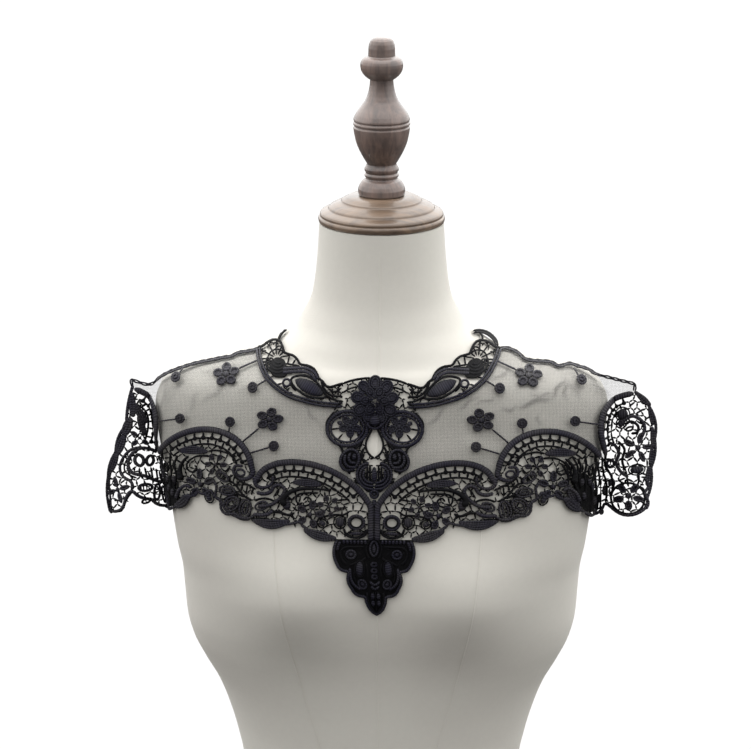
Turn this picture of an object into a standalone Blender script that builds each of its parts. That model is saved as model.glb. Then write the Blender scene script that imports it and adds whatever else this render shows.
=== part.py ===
"""A black lace collar on a dress form, at real size, for Blender 4.5.

The collar is a guipure and net front: two net yokes, a border round the neck, three scallops on
each side of which the outer one hangs free as a cap, a medallion with a rosette, a drop, and small
sprigs. It lies on a limbless dress form with a turned wooden neck cap.

Sizes are in millimetres and become metres by MM. The collar is charted on a flat board that leans
back by BOARD_TILT: a chart point (across, up) is carried along the board's normal on to the cloth's
surface, which follows the form's chest and hangs free beyond the shoulder tips. A table's rows are
for the wearer's right and left alike; side is -1 or 1 and turns across into x.
"""
import math
from collections import namedtuple

import bpy
import numpy as np
from mathutils import Vector
from mathutils.geometry import delaunay_2d_cdt

MM = 0.001

# ---------------------------------------------------------------- dress form
Section = namedtuple("Section", "height half_width front back squareness")
SECTIONS = (
    Section(0, 163, 101, 102, 2.25),
    Section(30, 166, 103, 105, 2.25),
    Section(60, 166, 104, 106, 2.25),
    Section(90, 162.5, 103.5, 104, 2.22),
    Section(120, 155, 101, 98, 2.20),
    Section(150, 144.5, 98, 90, 2.18),
    Section(180, 133.5, 94.5, 81, 2.14),
    Section(205, 126, 91.5, 73.5, 2.12),
    Section(230, 124.5, 90, 69, 2.10),
    Section(258, 129.5, 90, 70, 2.12),
    Section(288, 138, 92, 73, 2.15),
    Section(310, 146.5, 94.5, 76, 2.20),
    Section(331, 158, 97.5, 80, 2.25),
    Section(352, 167.5, 101.5, 84, 2.32),
    Section(372, 172, 106, 88, 2.36),
    Section(395, 173.5, 110, 92, 2.40),
    Section(416, 175, 112, 95, 2.45),
    Section(437, 179, 112, 97, 2.50),
    Section(463, 182.5, 110.5, 98, 2.55),
    Section(490, 186, 108, 99, 2.60),
    Section(540, 194, 100, 96, 2.60),
    Section(562, 196, 93, 88, 2.50),
    Section(577, 191, 89, 80, 2.45),
    Section(587, 181, 86, 72, 2.40),
    Section(596, 159, 82, 63, 2.35),
    Section(603, 128, 78, 58, 2.30),
    Section(610, 101, 73, 57, 2.20),
    Section(621, 85, 68, 59, 2.15),
    Section(636, 70, 62.5, 61, 2.05),
    Section(660, 59, 57, 59, 2.00),
    Section(690, 55, 54, 55, 2.00),
    Section(720, 53, 53, 53, 2.00),
)
BUST_APART = 80        # from the centre line to each bust point
BUST_HEIGHT = 415
BUST_SPREAD = 48
BUST_DEPTH = 16
FORM_SEGMENTS = 40
FORM_TOP = SECTIONS[-1].height

# ---------------------------------------------------------------- turned neck cap and finial
Turn = namedtuple("Turn", "height radius")
CAP_PROFILE = (
    Turn(0, 51), Turn(1.5, 53.5), Turn(7, 54), Turn(9, 52.5), Turn(12, 46), Turn(14, 45),
    Turn(20, 31), Turn(23, 29),
)
FINIAL_PROFILE = (
    Turn(0, 19.5), Turn(5.3, 19.8), Turn(12.2, 16.5), Turn(14.5, 13.5), Turn(17, 14.6),
    Turn(19, 13.5), Turn(22, 14.6), Turn(25, 13.5), Turn(27, 12.4), Turn(29.5, 14),
    Turn(38, 18.6), Turn(46.6, 22), Turn(53.5, 23.3), Turn(59.6, 24), Turn(65.5, 23.7),
    Turn(72.3, 20.2), Turn(80.8, 14), Turn(89.3, 11), Turn(98, 9.9), Turn(99.4, 12),
    Turn(106.2, 17.2), Turn(110.4, 18), Turn(113, 17.3), Turn(117.5, 13), Turn(118.8, 11.4),
    Turn(124.7, 11.3), Turn(131.5, 9.6), Turn(133.9, 5),
)
TURNED_SEGMENTS = 20
REST_GAP = 0.3         # between pieces that stand on each other

# ---------------------------------------------------------------- how the cloth lies
BOARD_TILT = math.radians(16.5)
CHART_LEVEL = 458.0    # distance up the board of the chart's zero, where the inner scallops meet
CLEARANCE = 1.0        # from the form to the cloth's inner face
ARM_CLEARANCE = 2.5    # the same beside the arm ends, where the cloth leaves the form
EASE = 8.0             # how softly the cloth turns from the form to the free cap
OFF_FORM = 60.0        # stands in for the form's surface where there is no form
SEAM = 0.5             # gap between neighbouring pieces
LAYER = 0.3            # gap between a panel and what lies on it
NET_INSET = 0.45       # of the net panels from their seams, where walls of two heights meet
NET_WALL = 1.0
LACE_WALL = 1.6
SATIN_RAISE = 0.9      # extra height of the padded satin band along each scallop's top
SATIN_WIDTH = 3.8

CapSheet = namedtuple("CapSheet", "shelf lean crest wave wave_length")
CAP_SHEETS = {-1: CapSheet(-6, 0.12, 214, 0.10, 50), 1: CapSheet(-6, 0.14, 219, 0.09, 56)}
CAP_TOP = 584.0
CAP_FROM, CAP_FULL = 150.0, 180.0   # the free sheet takes over between these, out from the centre

# ---------------------------------------------------------------- the chart's edges
Knot = namedtuple("Knot", "across up")
Lobe = namedtuple("Lobe", "across up bulge")    # the edge from here to the next row bows by bulge
Arch = namedtuple("Arch", "start rise fall end")
EDGE_STEP = 7.0

NECK_INNER = (
    Lobe(25, 95, -0.5), Lobe(43, 98, -3), Lobe(61, 110.5, -2.5), Lobe(73, 121, -2),
    Lobe(87, 135, -1), Lobe(94, 131, 0),
)
NECK_OUTER = (
    Lobe(103, 125, -1.5), Lobe(91, 99, -3), Lobe(59, 80.5, -1.5), Lobe(27, 76.5, 0),
)
MEDALLION_FOOT = 4     # the medallion follows the inner scallops for this many steps
MEDALLION_EDGE = (
    Lobe(26, 39.5, 3), Lobe(38.5, 52, 4), Lobe(36, 70, 1), Lobe(27, 76.5, 0),
)
MEDALLION_BOW = 3.5    # of its edge from the foot to the first row
NECKLINE = (Lobe(25, 95, 1.5), Lobe(0, 101, 0))
INNER_ARCH = Arch((0, -8), (20, 34), (96, 46), (102, 12))
MIDDLE_RISE, MIDDLE_FALL, MIDDLE_END = (100, 64), (162, 73), (192, 33)
CAP_ARCHES = {
    -1: Arch((192, 33), (183, 58), (180, 83), (214, 92.5)),
    1: Arch((192, 33), (179, 58), (180, 86), (218.5, 91)),
}
SHOULDER_LINE = (
    Lobe(103, 125, -0.5), Lobe(128, 118, -0.5), Lobe(157, 112, -0.5), Lobe(182, 102.5, -0.5),
)
SHOULDER_TIPS = {
    -1: (Lobe(198.5, 95, 1), Lobe(214, 98.5, 0)),
    1: (Lobe(198, 98, -0.5), Lobe(218, 97, 0)),
}
CORD_WIDTH = 2.4
DROP_SEAM = -36.0
DROP_EDGE = (
    Lobe(0, -101, 1.5), Lobe(8.5, -92, 0.5), Lobe(9.5, -85.5, 2.5), Lobe(21, -78, 2),
    Lobe(22.5, -64, 2), Lobe(32, -58, 3), Lobe(32, DROP_SEAM, 0),
)
INNER_HEM = (
    Lobe(32, DROP_SEAM, 2.5), Lobe(58.5, -27, 1), Lobe(62, -22, 1.5), Lobe(82, -23.5, 2.5),
    Lobe(104, -20, 0),
)
INNER_SEAM = (Lobe(104, -20, 0), Lobe(98, -3, 0), Lobe(102, 12, 0))
MIDDLE_HEM = (
    Lobe(104, -20, 1.5), Lobe(117, -18, 2.5), Lobe(130, -5, 1.5), Lobe(139, 4, 3),
    Lobe(150, 2, 2.5), Lobe(163, -2, 2), Lobe(174.5, -14, 0),
)
CAP_SEAM = (Lobe(174.5, -14, 0), Lobe(181, 6, 0), Lobe(192, 33, 0))
CAP_HEMS = {
    -1: (
        Lobe(174.5, -14, 2), Lobe(188, -14.5, 2), Lobe(199.5, -8.5, 2), Lobe(213.5, -1, -1),
        Lobe(219.5, -15, 3), Lobe(237.5, -19, 2), Lobe(238.5, 12, 2), Lobe(230, 34, 2.5),
        Lobe(219.5, 58, 1.5), Lobe(214, 92.5, 0),
    ),
    1: (
        Lobe(174.5, -14, 2), Lobe(186.5, -18.5, 2), Lobe(196.5, -9, 0), Lobe(200.5, -12, 5),
        Lobe(225.5, -15, 2.5), Lobe(231.5, -2, 2), Lobe(234.5, 24, 2), Lobe(237.5, 49, 3),
        Lobe(232.5, 77, 2), Lobe(218.5, 91, 0),
    ),
}

# ---------------------------------------------------------------- openings in the guipure
Cell = namedtuple("Cell", "near far")
LADDER_ROWS = (Cell(5.2, 10), Cell(11.4, 16))   # depths below a scallop's top edge
LADDER_PITCH = 8.0
CELL_ROOM = 1.8        # from an opening's middle to its nearest edge, or it stays closed
BAR = 1.3              # narrowest bar between two openings
HEM_BAND = 2.2         # solid band inside an outline
Ring = namedtuple("Ring", "across up hub reach count turn")   # openings round a flower, eye or fan
INNER_RINGS = (
    Ring(16, -21, 0, 4.2, 1, 0), Ring(38.5, -8.5, 2.6, 10.5, 5, 0.3), Ring(60, -9, 2.6, 10.5, 5, 1),
    Ring(82, -2, 2.6, 10, 5, 0.2), Ring(32, -24, 2.2, 8, 4, 0.6), Ring(90, -12, 2, 7, 4, 0.4),
)
MIDDLE_RINGS = (
    Ring(110, 25, 0, 3.8, 1, 0), Ring(131, 28, 2.6, 10, 5, 0.5), Ring(112, 2, 3, 13, 7, 0),
    Ring(147, 18, 2.6, 10, 5, 0.1), Ring(166, 26, 2.2, 9, 4, 0.3),
)
CAP_RINGS = {
    -1: (
        Ring(225.5, -2, 2.6, 11.5, 5, 0.3), Ring(201, 28, 0, 2.8, 1, 0), Ring(208, 28, 0, 2.8, 1, 0),
        Ring(202.5, 4.7, 0, 3.4, 1, 0), Ring(210.5, 48, 2.4, 9, 5, 0.2), Ring(225.5, 18, 2, 6, 3, 0),
    ),
    1: (
        Ring(214.7, -5, 2.6, 12, 5, 0.3), Ring(190, 4, 2.6, 9, 5, 0), Ring(222, 31, 2.6, 10.5, 5, 0.9),
        Ring(216, 58.4, 2.6, 10, 5, 0.2), Ring(204, 22.6, 2, 7, 4, 0),
    ),
}
NECK_RINGS = (
    Ring(36, 87, 1.5, 7, 3, 0.4), Ring(53, 95, 2.2, 9, 5, 0.2), Ring(72, 104, 2.2, 10, 5, 0.8),
    Ring(87, 118, 2.2, 9.5, 5, 0.3),
)
MEDALLION_RINGS = (
    Ring(26, 57, 2.4, 9.5, 5, 0.3), Ring(19, 29, 2.2, 7.5, 4, 0.2),
)
DROP_RINGS = (Ring(18, -48, 2.4, 9.5, 5, 0.1), Ring(11, -69, 2.2, 7, 4, 0.5))
TEARDROP = (
    Knot(0, 33.5), Knot(-4.8, 36), Knot(-6.5, 41), Knot(-4.4, 49.5), Knot(0, 57), Knot(4.4, 49.5),
    Knot(6.5, 41), Knot(4.8, 36),
)

# ---------------------------------------------------------------- sprigs laid on the net
Sprig = namedtuple("Sprig", "across up root_across root_up")
FLOWERS = (Sprig(127, 101.5, 105, 112), Sprig(87.5, 65, 100, 53))
DOTS = (
    Sprig(171, 98, 166, 103.5), Sprig(102.5, 91, 96.5, 96), Sprig(165, 64.5, 183.5, 62),
    Sprig(121, 62.5, 121.5, 57.8), Sprig(84, 42.5, 98.5, 38.5),
)
PETALS = 5
FLOWER_RADIUS, FLOWER_WAIST = 12.0, 5.0
DOT_RADIUS = 4.4
STEM_WIDTH = 1.4
SPRIG_WALL = 1.3
ROSETTE = Knot(0, 81)
ROSETTE_PETALS, ROSETTE_RADIUS, ROSETTE_WAIST = 8, 18.5, 15.0
ROSETTE_WALL, ROSETTE_DOME = 2.0, 2.5

NET_MESH = 12.0        # spacing of the inner points of a net panel
LACE_MESH = 9.0
NORMAL_REACH = 6.0     # neighbours this far off set a point's normal, so walls at a seam lean alike
POINT_ROOM = 0.42      # an inner point keeps this share of the spacing from any other

Finish = namedtuple("Finish", "name colour roughness")
GUIPURE = Finish("guipure", (0.012, 0.011, 0.016, 1), 0.55)
NET = Finish("net", (0.05, 0.05, 0.055, 1), 0.7)
COVER = Finish("form_cover", (0.72, 0.70, 0.65, 1), 0.85)
WOOD = Finish("turned_wood", (0.16, 0.085, 0.055, 1), 0.4)


# ---------------------------------------------------------------- objects
def material(finish):
    """Return the material of a finish, made once."""
    found = bpy.data.materials.get(finish.name)
    if found:
        return found
    made = bpy.data.materials.new(finish.name)
    made.use_nodes = True
    shader = made.node_tree.nodes["Principled BSDF"]
    shader.inputs["Base Color"].default_value = finish.colour
    shader.inputs["Roughness"].default_value = finish.roughness
    shader.inputs["Metallic"].default_value = 0.0
    return made


def add_object(name, points, faces, finish):
    """Make one object from points in millimetres and its faces."""
    mesh = bpy.data.meshes.new(name)
    mesh.from_pydata([tuple(MM * value for value in point) for point in points], [], faces)
    mesh.materials.append(material(finish))
    mesh.shade_smooth()
    mesh.set_sharp_from_angle(angle=math.radians(40))
    made = bpy.data.objects.new(name, mesh)
    bpy.context.scene.collection.objects.link(made)
    return made


def lofted(rings):
    """Faces that join rings of equal count, listed from the bottom up, and close both ends."""
    count = len(rings[0])
    points = [point for ring in rings for point in ring]
    faces = [tuple(reversed(range(count)))]
    for row in range(len(rings) - 1):
        low, high = row * count, (row + 1) * count
        for step in range(count):
            after = (step + 1) % count
            faces.append((low + step, low + after, high + after, high + step))
    faces.append(tuple(range(len(points) - count, len(points))))
    return points, faces


# ---------------------------------------------------------------- dress form
def section_at(height):
    """The form's section sizes at a height, or at an array of heights."""
    heights = [row.height for row in SECTIONS]
    return [np.interp(height, heights, [row[column] for row in SECTIONS]) for column in (1, 2, 3, 4)]


def bust_at(x, height):
    """How far the bust stands out of the plain section, straight between the section rows."""
    heights = np.array([row.height for row in SECTIONS])
    rows = np.exp(-((heights - BUST_HEIGHT) / BUST_SPREAD) ** 2)
    spread = ((np.abs(x) - BUST_APART) / BUST_SPREAD) ** 2
    return BUST_DEPTH * np.exp(-spread) * np.interp(height, heights, rows)


def form_ring(height):
    """One closed ring round the form, a superellipse with its own depth in front and behind."""
    half_width, front, back, power = section_at(height)
    ring = []
    for step in range(FORM_SEGMENTS):
        angle = 2 * math.pi * step / FORM_SEGMENTS
        cosine, sine = math.cos(angle), math.sin(angle)
        x = half_width * math.copysign(abs(cosine) ** (2 / power), cosine)
        depth = back if sine > 0 else front + bust_at(x, height)
        ring.append((x, depth * math.copysign(abs(sine) ** (2 / power), sine), height))
    return ring


def build_form():
    """The covered torso, from its flat base to the top of the neck."""
    points, faces = lofted([form_ring(row.height) for row in SECTIONS])
    add_object("dress_form", points, faces, COVER)


def build_turned(name, profile, base):
    """A turned wooden piece that stands at a height on the form's axis."""
    rings = []
    for turn in profile:
        angles = [2 * math.pi * step / TURNED_SEGMENTS for step in range(TURNED_SEGMENTS)]
        rings.append([(turn.radius * math.cos(angle), turn.radius * math.sin(angle),
                       base + turn.height) for angle in angles])
    points, faces = lofted(rings)
    add_object(name, points, faces, WOOD)


# ---------------------------------------------------------------- the cloth's surface
def smooth_min(first, second):
    """The smaller of two depths, eased where they cross."""
    share = np.clip(0.5 + 0.5 * (second - first) / EASE, 0, 1)
    return second + (first - second) * share - EASE * share * (1 - share)


def free_share(x):
    """How much of the free sheet there is at a distance from the centre, from 0 to 1."""
    share = np.clip((np.abs(x) - CAP_FROM) / (CAP_FULL - CAP_FROM), 0, 1)
    return share * share * (3 - 2 * share)


def form_depth(x, z):
    """The y of the form's front, grown by the cloth's clearance."""
    clear = CLEARANCE + (ARM_CLEARANCE - CLEARANCE) * free_share(x)
    half_width, front, _, power = section_at(z - clear)
    share = np.abs(x) / (half_width + clear)
    inside = np.clip(1 - share ** power, 0, 1) ** (1 / power)
    depth = -(front + clear + bust_at(x, z - clear)) * inside
    return np.where(share < 1, depth, OFF_FORM)


def cap_depth(x, z):
    """The y of the sheet that the free caps hang in, with one fold that deepens to the hem."""
    depth = np.zeros_like(x)
    fall = np.maximum(CAP_TOP - z, 0)
    for side, sheet in CAP_SHEETS.items():
        phase = 2 * np.pi * (np.abs(x) - sheet.crest) / sheet.wave_length
        hung = sheet.shelf - fall * (sheet.lean + sheet.wave * np.cos(phase))
        depth = np.where(x * side > 0, hung, depth)
    share = free_share(x)
    return (1 - share) * OFF_FORM + share * depth


def on_cloth(x, up):
    """Carry chart points on to the cloth's inner face."""
    x, up = np.asarray(x, float), np.asarray(up, float) + CHART_LEVEL
    sine, cosine = math.sin(BOARD_TILT), math.cos(BOARD_TILT)

    def behind(reach):
        z = up * cosine - reach * sine
        return up * sine + reach * cosine > smooth_min(form_depth(x, z), cap_depth(x, z))

    near = np.full_like(x, -400.0)
    step = 3.0
    for _ in range(180):
        near = np.where(behind(near + step), near, near + step)
    far = near + step
    for _ in range(24):
        middle = (near + far) / 2
        hidden = behind(middle)
        near, far = np.where(hidden, near, middle), np.where(hidden, middle, far)
    return np.stack([x, up * sine + near * cosine, up * cosine - near * sine], axis=-1)


def cloth_normals(x, up):
    """Unit normals of the cloth at chart points, facing out of the form."""
    x, up = np.asarray(x, float), np.asarray(up, float)
    along = on_cloth(x + NORMAL_REACH, up) - on_cloth(x - NORMAL_REACH, up)
    rising = on_cloth(x, up + NORMAL_REACH) - on_cloth(x, up - NORMAL_REACH)
    normal = np.cross(along, rising)
    return normal / np.linalg.norm(normal, axis=-1, keepdims=True)


# ---------------------------------------------------------------- outlines on the chart
def bowed(rows):
    """Points along an edge whose stretches bow to the right of the way they run."""
    points = []
    for row, after in zip(rows, rows[1:]):
        start, end = np.array(row[:2], float), np.array(after[:2], float)
        run = end - start
        length = np.linalg.norm(run)
        right = np.array([run[1], -run[0]]) / length
        count = max(2 if row.bulge else 1, round(length / EDGE_STEP))
        for step in range(count):
            share = step / count
            points.append(start + run * share + right * row.bulge * 4 * share * (1 - share))
    points.append(np.array(rows[-1][:2], float))
    return points


def arch_curve(arch):
    """Close points of a scallop's top edge, a cubic from start to end, and the length to each."""
    share = np.linspace(0, 1, 121)[:, None]
    start, rise, fall, end = np.array(arch, float)
    points = ((1 - share) ** 3 * start + 3 * share * (1 - share) ** 2 * rise
              + 3 * share ** 2 * (1 - share) * fall + share ** 3 * end)
    steps = np.linalg.norm(np.diff(points, axis=0), axis=1)
    return points, np.concatenate([[0], np.cumsum(steps)])


def along_arch(arch, count):
    """Points of a scallop's top edge that divide it into equal lengths."""
    points, lengths = arch_curve(arch)
    places = np.linspace(0, lengths[-1], count + 1)
    return [np.array([np.interp(place, lengths, points[:, axis]) for axis in (0, 1)])
            for place in places]


def arch_points(arch):
    """A scallop's top edge at the chart's usual spacing."""
    return along_arch(arch, round(arch_curve(arch)[1][-1] / EDGE_STEP))


def joined(*runs):
    """One closed outline from runs of points whose ends meet."""
    outline = []
    for run in runs:
        for point in run:
            if not outline or np.linalg.norm(np.subtract(point, outline[-1])) > 0.05:
                outline.append(np.array(point, float))
    if np.linalg.norm(outline[0] - outline[-1]) < 0.05:
        outline.pop()
    return outline


def turned_left(outline):
    """The outline listed counter-clockwise."""
    points = np.array(outline)
    after = np.roll(points, -1, axis=0)
    area = np.sum(points[:, 0] * after[:, 1] - after[:, 0] * points[:, 1])
    return points if area > 0 else points[::-1]


def inset(outline, distance):
    """Move a counter-clockwise outline inwards, for the gap at a seam."""
    points = turned_left(outline)
    before, after = np.roll(points, 1, axis=0), np.roll(points, -1, axis=0)

    def inward(run):
        return np.stack([-run[:, 1], run[:, 0]], axis=1) / np.linalg.norm(run, axis=1)[:, None]

    first, second = inward(points - before), inward(after - points)
    bisector = first + second
    bisector /= np.maximum(np.linalg.norm(bisector, axis=1)[:, None], 0.3)
    stretch = np.maximum(np.sum(bisector * first, axis=1), 0.45)
    return points + bisector * (distance / stretch)[:, None]


def sided(points, side):
    """Turn distances across into x on one side."""
    return [np.array([side * point[0], point[1]], float) for point in points]


# ---------------------------------------------------------------- openings
def inside(point, outline):
    """Whether a chart point lies within an outline."""
    x, up = point
    after = np.roll(outline, -1, axis=0)
    crosses = (outline[:, 1] > up) != (after[:, 1] > up)
    rise = np.where(crosses, after[:, 1] - outline[:, 1], 1)
    cut = outline[:, 0] + (up - outline[:, 1]) * (after[:, 0] - outline[:, 0]) / rise
    return bool(np.count_nonzero(crosses & (x < cut)) % 2)


def room(point, outline):
    """Distance from a chart point to an outline's nearest edge."""
    after = np.roll(outline, -1, axis=0)
    run = after - outline
    share = np.clip(np.sum((point - outline) * run, axis=1) / np.sum(run * run, axis=1), 0, 1)
    return np.min(np.linalg.norm(outline + run * share[:, None] - point, axis=1))


def fits(cell, outline, kept):
    """Whether an opening is large enough and clear of the outline and of those already kept."""
    if room(cell.mean(axis=0), cell) < CELL_ROOM:
        return False
    for point in cell:
        if not inside(point, outline) or room(point, outline) < HEM_BAND:
            return False
    for other in kept:
        if inside(cell.mean(axis=0), other) or inside(other.mean(axis=0), cell):
            return False
        if min(room(point, other) for point in cell) < BAR:
            return False
        if min(room(point, cell) for point in other) < BAR:
            return False
    return True


def ladder_cells(arch):
    """Rows of four-sided openings that follow a scallop's top edge."""
    cells = []
    for row, depths in enumerate(LADDER_ROWS):
        count = round(arch_curve(arch)[1][-1] / LADDER_PITCH)
        posts = np.array(along_arch(arch, 4 * count))
        run = np.gradient(posts, axis=0)
        inward = np.stack([run[:, 1], -run[:, 0]], axis=1) / np.linalg.norm(run, axis=1)[:, None]
        for start in range(2 * (row % 2), 4 * count - 3, 4):
            ends = (start, start + 3)
            cells.append(np.array([posts[end] + inward[end] * depth for end, depth in (
                (ends[0], depths.near), (ends[1], depths.near), (ends[1], depths.far),
                (ends[0], depths.far))]))
    return cells


def ring_cells(ring):
    """The openings between the petals of one motif, or the one opening of an eye."""
    centre = np.array([ring.across, ring.up], float)

    def spoke(angle, radius):
        return centre + radius * np.array([math.cos(angle), math.sin(angle)])

    if ring.count == 1:
        return [np.array([spoke(2 * math.pi * step / 6, ring.reach) for step in range(6)])]
    cells = []
    pitch = 2 * math.pi / ring.count
    for step in range(ring.count):
        angle = ring.turn + pitch * step
        half = 0.31 * pitch
        cells.append(np.array([
            spoke(angle, ring.hub), spoke(angle + half, 0.72 * ring.reach),
            spoke(angle + 0.7 * half, ring.reach), spoke(angle - 0.7 * half, ring.reach),
            spoke(angle - half, 0.72 * ring.reach)]))
    return cells


def openings(outline, cells, side):
    """The openings of one panel that fit, the first named first."""
    kept = []
    for cell in cells:
        turned = turned_left(sided(cell, side))
        if fits(turned, outline, kept):
            kept.append(turned)
    return kept


# ---------------------------------------------------------------- panels
def lattice(outline, holes, others, spacing):
    """Inner points in staggered rows, clear of every edge."""
    low, high = outline.min(axis=0), outline.max(axis=0)
    points = []
    for row in range(int((high[1] - low[1]) / (0.87 * spacing)) + 1):
        up = low[1] + (row + 0.5) * 0.87 * spacing
        for column in range(int((high[0] - low[0]) / spacing) + 2):
            point = np.array([low[0] + (column + 0.5 * (row % 2)) * spacing, up])
            keep = POINT_ROOM * spacing
            if not inside(point, outline) or room(point, outline) < keep:
                continue
            if any(inside(point, hole) or room(point, hole) < keep for hole in holes):
                continue
            if all(np.linalg.norm(point - other) > keep for other in others):
                points.append(point)
    return points


Laid = namedtuple("Laid", "name outline inner raise_by")    # a piece that lies on a panel


def build_panel(name, outline, finish, wall, holes=(), raised=(), laid=(), spacing=LACE_MESH,
                base=0.0):
    """A wall of cloth over a chart outline, with openings cut through.

    raised lists runs of points with a height: (points, height), added to the wall there.
    laid lists the pieces that lie on this panel, whose points it shares.
    """
    loops = [outline, *holes, *(piece.outline for piece in laid)]
    points = [point for loop in loops for point in loop]
    edges = []
    start = 0
    for loop in loops:
        edges += [(start + step, start + (step + 1) % len(loop)) for step in range(len(loop))]
        start += len(loop)
    crests = [point for run, _ in raised for point in run]
    points += crests
    points += [point for piece in laid for point in piece.inner]
    points += lattice(outline, loops[1:], crests, spacing)
    flat, _, faces, _, _, _ = delaunay_2d_cdt([Vector(point) for point in points], edges, [], 0, 1e-5)
    chart = np.array([tuple(point) for point in flat])
    kept = []
    for face in faces:
        centre = chart[list(face)].mean(axis=0)
        if inside(centre, outline) and not any(inside(centre, hole) for hole in holes):
            kept.append(tuple(face))
    heights = np.full(len(chart), wall)
    for run, height in raised:
        for point in run:
            heights[np.linalg.norm(chart - point, axis=1) < 0.01] += height
    inner = on_cloth(chart[:, 0], chart[:, 1])
    normals = cloth_normals(chart[:, 0], chart[:, 1])
    solid = np.concatenate([inner + normals * base, inner + normals * (base + heights)[:, None]])
    count = len(chart)
    walls = boundary(kept)
    shell = [tuple(reversed(face)) for face in kept]
    shell += [tuple(count + corner for corner in face) for face in kept]
    shell += [(first, second, count + second, count + first) for first, second in walls]
    used = sorted({corner for face in shell for corner in face})
    renumbered = {corner: place for place, corner in enumerate(used)}
    shell = [tuple(renumbered[corner] for corner in face) for face in shell]
    return add_object(name, solid[used], shell, finish)


def boundary(faces):
    """The directed edges that belong to one face only."""
    edges = {(face[step], face[(step + 1) % len(face)]) for face in faces for step in range(len(face))}
    return sorted(edge for edge in edges if (edge[1], edge[0]) not in edges)


def satin_band(arch, side):
    """The inner line of the padded band along a scallop's top, and its outer line."""
    posts = np.array(arch_points(arch))
    run = np.gradient(posts, axis=0)
    inward = np.stack([run[:, 1], -run[:, 0]], axis=1) / np.linalg.norm(run, axis=1)[:, None]
    line = posts + inward * SATIN_WIDTH
    return sided(line[1:-1], side)


def build_scallop(name, side, arch, outline, rings):
    """One scallop of guipure with its padded top band, ladder rows and motif openings."""
    outline = inset(sided(outline, side), SEAM / 2)
    cells = ladder_cells(arch) + [cell for ring in rings for cell in ring_cells(ring)]
    band = [point for point in satin_band(arch, side) if inside(point, outline)]
    band = [point for point in band if room(point, outline) > 1.5]
    top = sided(arch_points(arch), side)
    rim = [point for point in outline if min(np.linalg.norm(point - post) for post in top) < SEAM]
    build_panel(name, outline, GUIPURE, LACE_WALL, openings(outline, cells, side),
                ((band, SATIN_RAISE), (rim, SATIN_RAISE)))


# ---------------------------------------------------------------- the collar's outlines
def middle_arch():
    """The middle scallop's top edge, which starts on the inner one's."""
    return Arch(tuple(arch_points(INNER_ARCH)[-2]), MIDDLE_RISE, MIDDLE_FALL, MIDDLE_END)


def shoulder_line(side):
    """The collar's edge along the shoulder, from the neck to the cap's tip."""
    return bowed((*SHOULDER_LINE, *SHOULDER_TIPS[side]))


def below(points, distance):
    """The points of an edge, moved down the chart."""
    return [point - np.array([0, distance]) for point in points]


def medallion_side():
    """The medallion's edge from the inner scallops up to the neck border."""
    foot = arch_points(INNER_ARCH)[MEDALLION_FOOT]
    return bowed((Lobe(foot[0], foot[1], MEDALLION_BOW), *MEDALLION_EDGE))


def yoke_outline(side):
    """The net panel between the neck border, the medallion, the scallops and the shoulder."""
    return joined(bowed(NECK_OUTER), medallion_side()[::-1],
                  arch_points(INNER_ARCH)[MEDALLION_FOOT:-1],
                  arch_points(middle_arch()), arch_points(CAP_ARCHES[side]),
                  below(shoulder_line(side), CORD_WIDTH)[::-1])


def neck_outline():
    """The crescent border beside the neck."""
    return joined(bowed(NECK_INNER), bowed(NECK_OUTER))


def inner_outline():
    """The scallop next to the centre."""
    return joined([(0, DROP_SEAM), (0, -22)], arch_points(INNER_ARCH), bowed(INNER_SEAM)[::-1],
                  bowed(INNER_HEM)[::-1], drop_seam()[::-1])


def middle_outline():
    """The scallop over the front of the shoulder."""
    return joined(bowed(INNER_SEAM), arch_points(INNER_ARCH)[-2:][::-1], arch_points(middle_arch()),
                  bowed(CAP_SEAM)[::-1], bowed(MIDDLE_HEM)[::-1])


def cap_outline(side):
    """The scallop that hangs free beyond the shoulder tip."""
    return joined(bowed(CAP_SEAM), arch_points(CAP_ARCHES[side]), bowed(CAP_HEMS[side])[::-1])


def drop_seam():
    """The upper edge of the drop, out from the centre."""
    return bowed((Lobe(0, DROP_SEAM, 0), Lobe(DROP_EDGE[-1].across, DROP_SEAM, 0)))


def both_halves(half):
    """A closed outline from its half on the positive side, listed from the bottom up."""
    other = [np.array([-point[0], point[1]]) for point in reversed(half) if abs(point[0]) > 0.01]
    return inset([np.array(point, float) for point in half] + other, SEAM / 2)


# ---------------------------------------------------------------- the collar's pieces
def build_shoulder_edge(side, label):
    """The corded edge of the net along the shoulder."""
    top = shoulder_line(side)
    outline = inset(sided(top + below(top, CORD_WIDTH)[::-1], side), SEAM / 2)
    build_panel(f"shoulder_edge_{label}", outline, GUIPURE, LACE_WALL)


def build_neck_border(side, label):
    """The guipure crescent of one side."""
    outline = inset(sided(neck_outline(), side), SEAM / 2)
    cells = [cell for ring in NECK_RINGS for cell in ring_cells(ring)]
    build_panel(f"neck_border_{label}", outline, GUIPURE, LACE_WALL, openings(outline, cells, side))


def build_medallion():
    """The middle piece, with its teardrop opening and its rings."""
    foot = arch_points(INNER_ARCH)[:MEDALLION_FOOT + 1]
    outline = both_halves(joined(foot, medallion_side(), bowed(NECKLINE)))
    drop = turned_left(TEARDROP)
    kept = [drop]
    for side in (-1, 1):
        cells = [cell for ring in MEDALLION_RINGS for cell in ring_cells(ring)]
        kept += openings(outline, cells, side)
    rosette = rosette_shape()
    build_panel("medallion", outline, GUIPURE, LACE_WALL, kept, laid=(rosette,))
    build_laid(rosette, ROSETTE_WALL, LACE_WALL)


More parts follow.
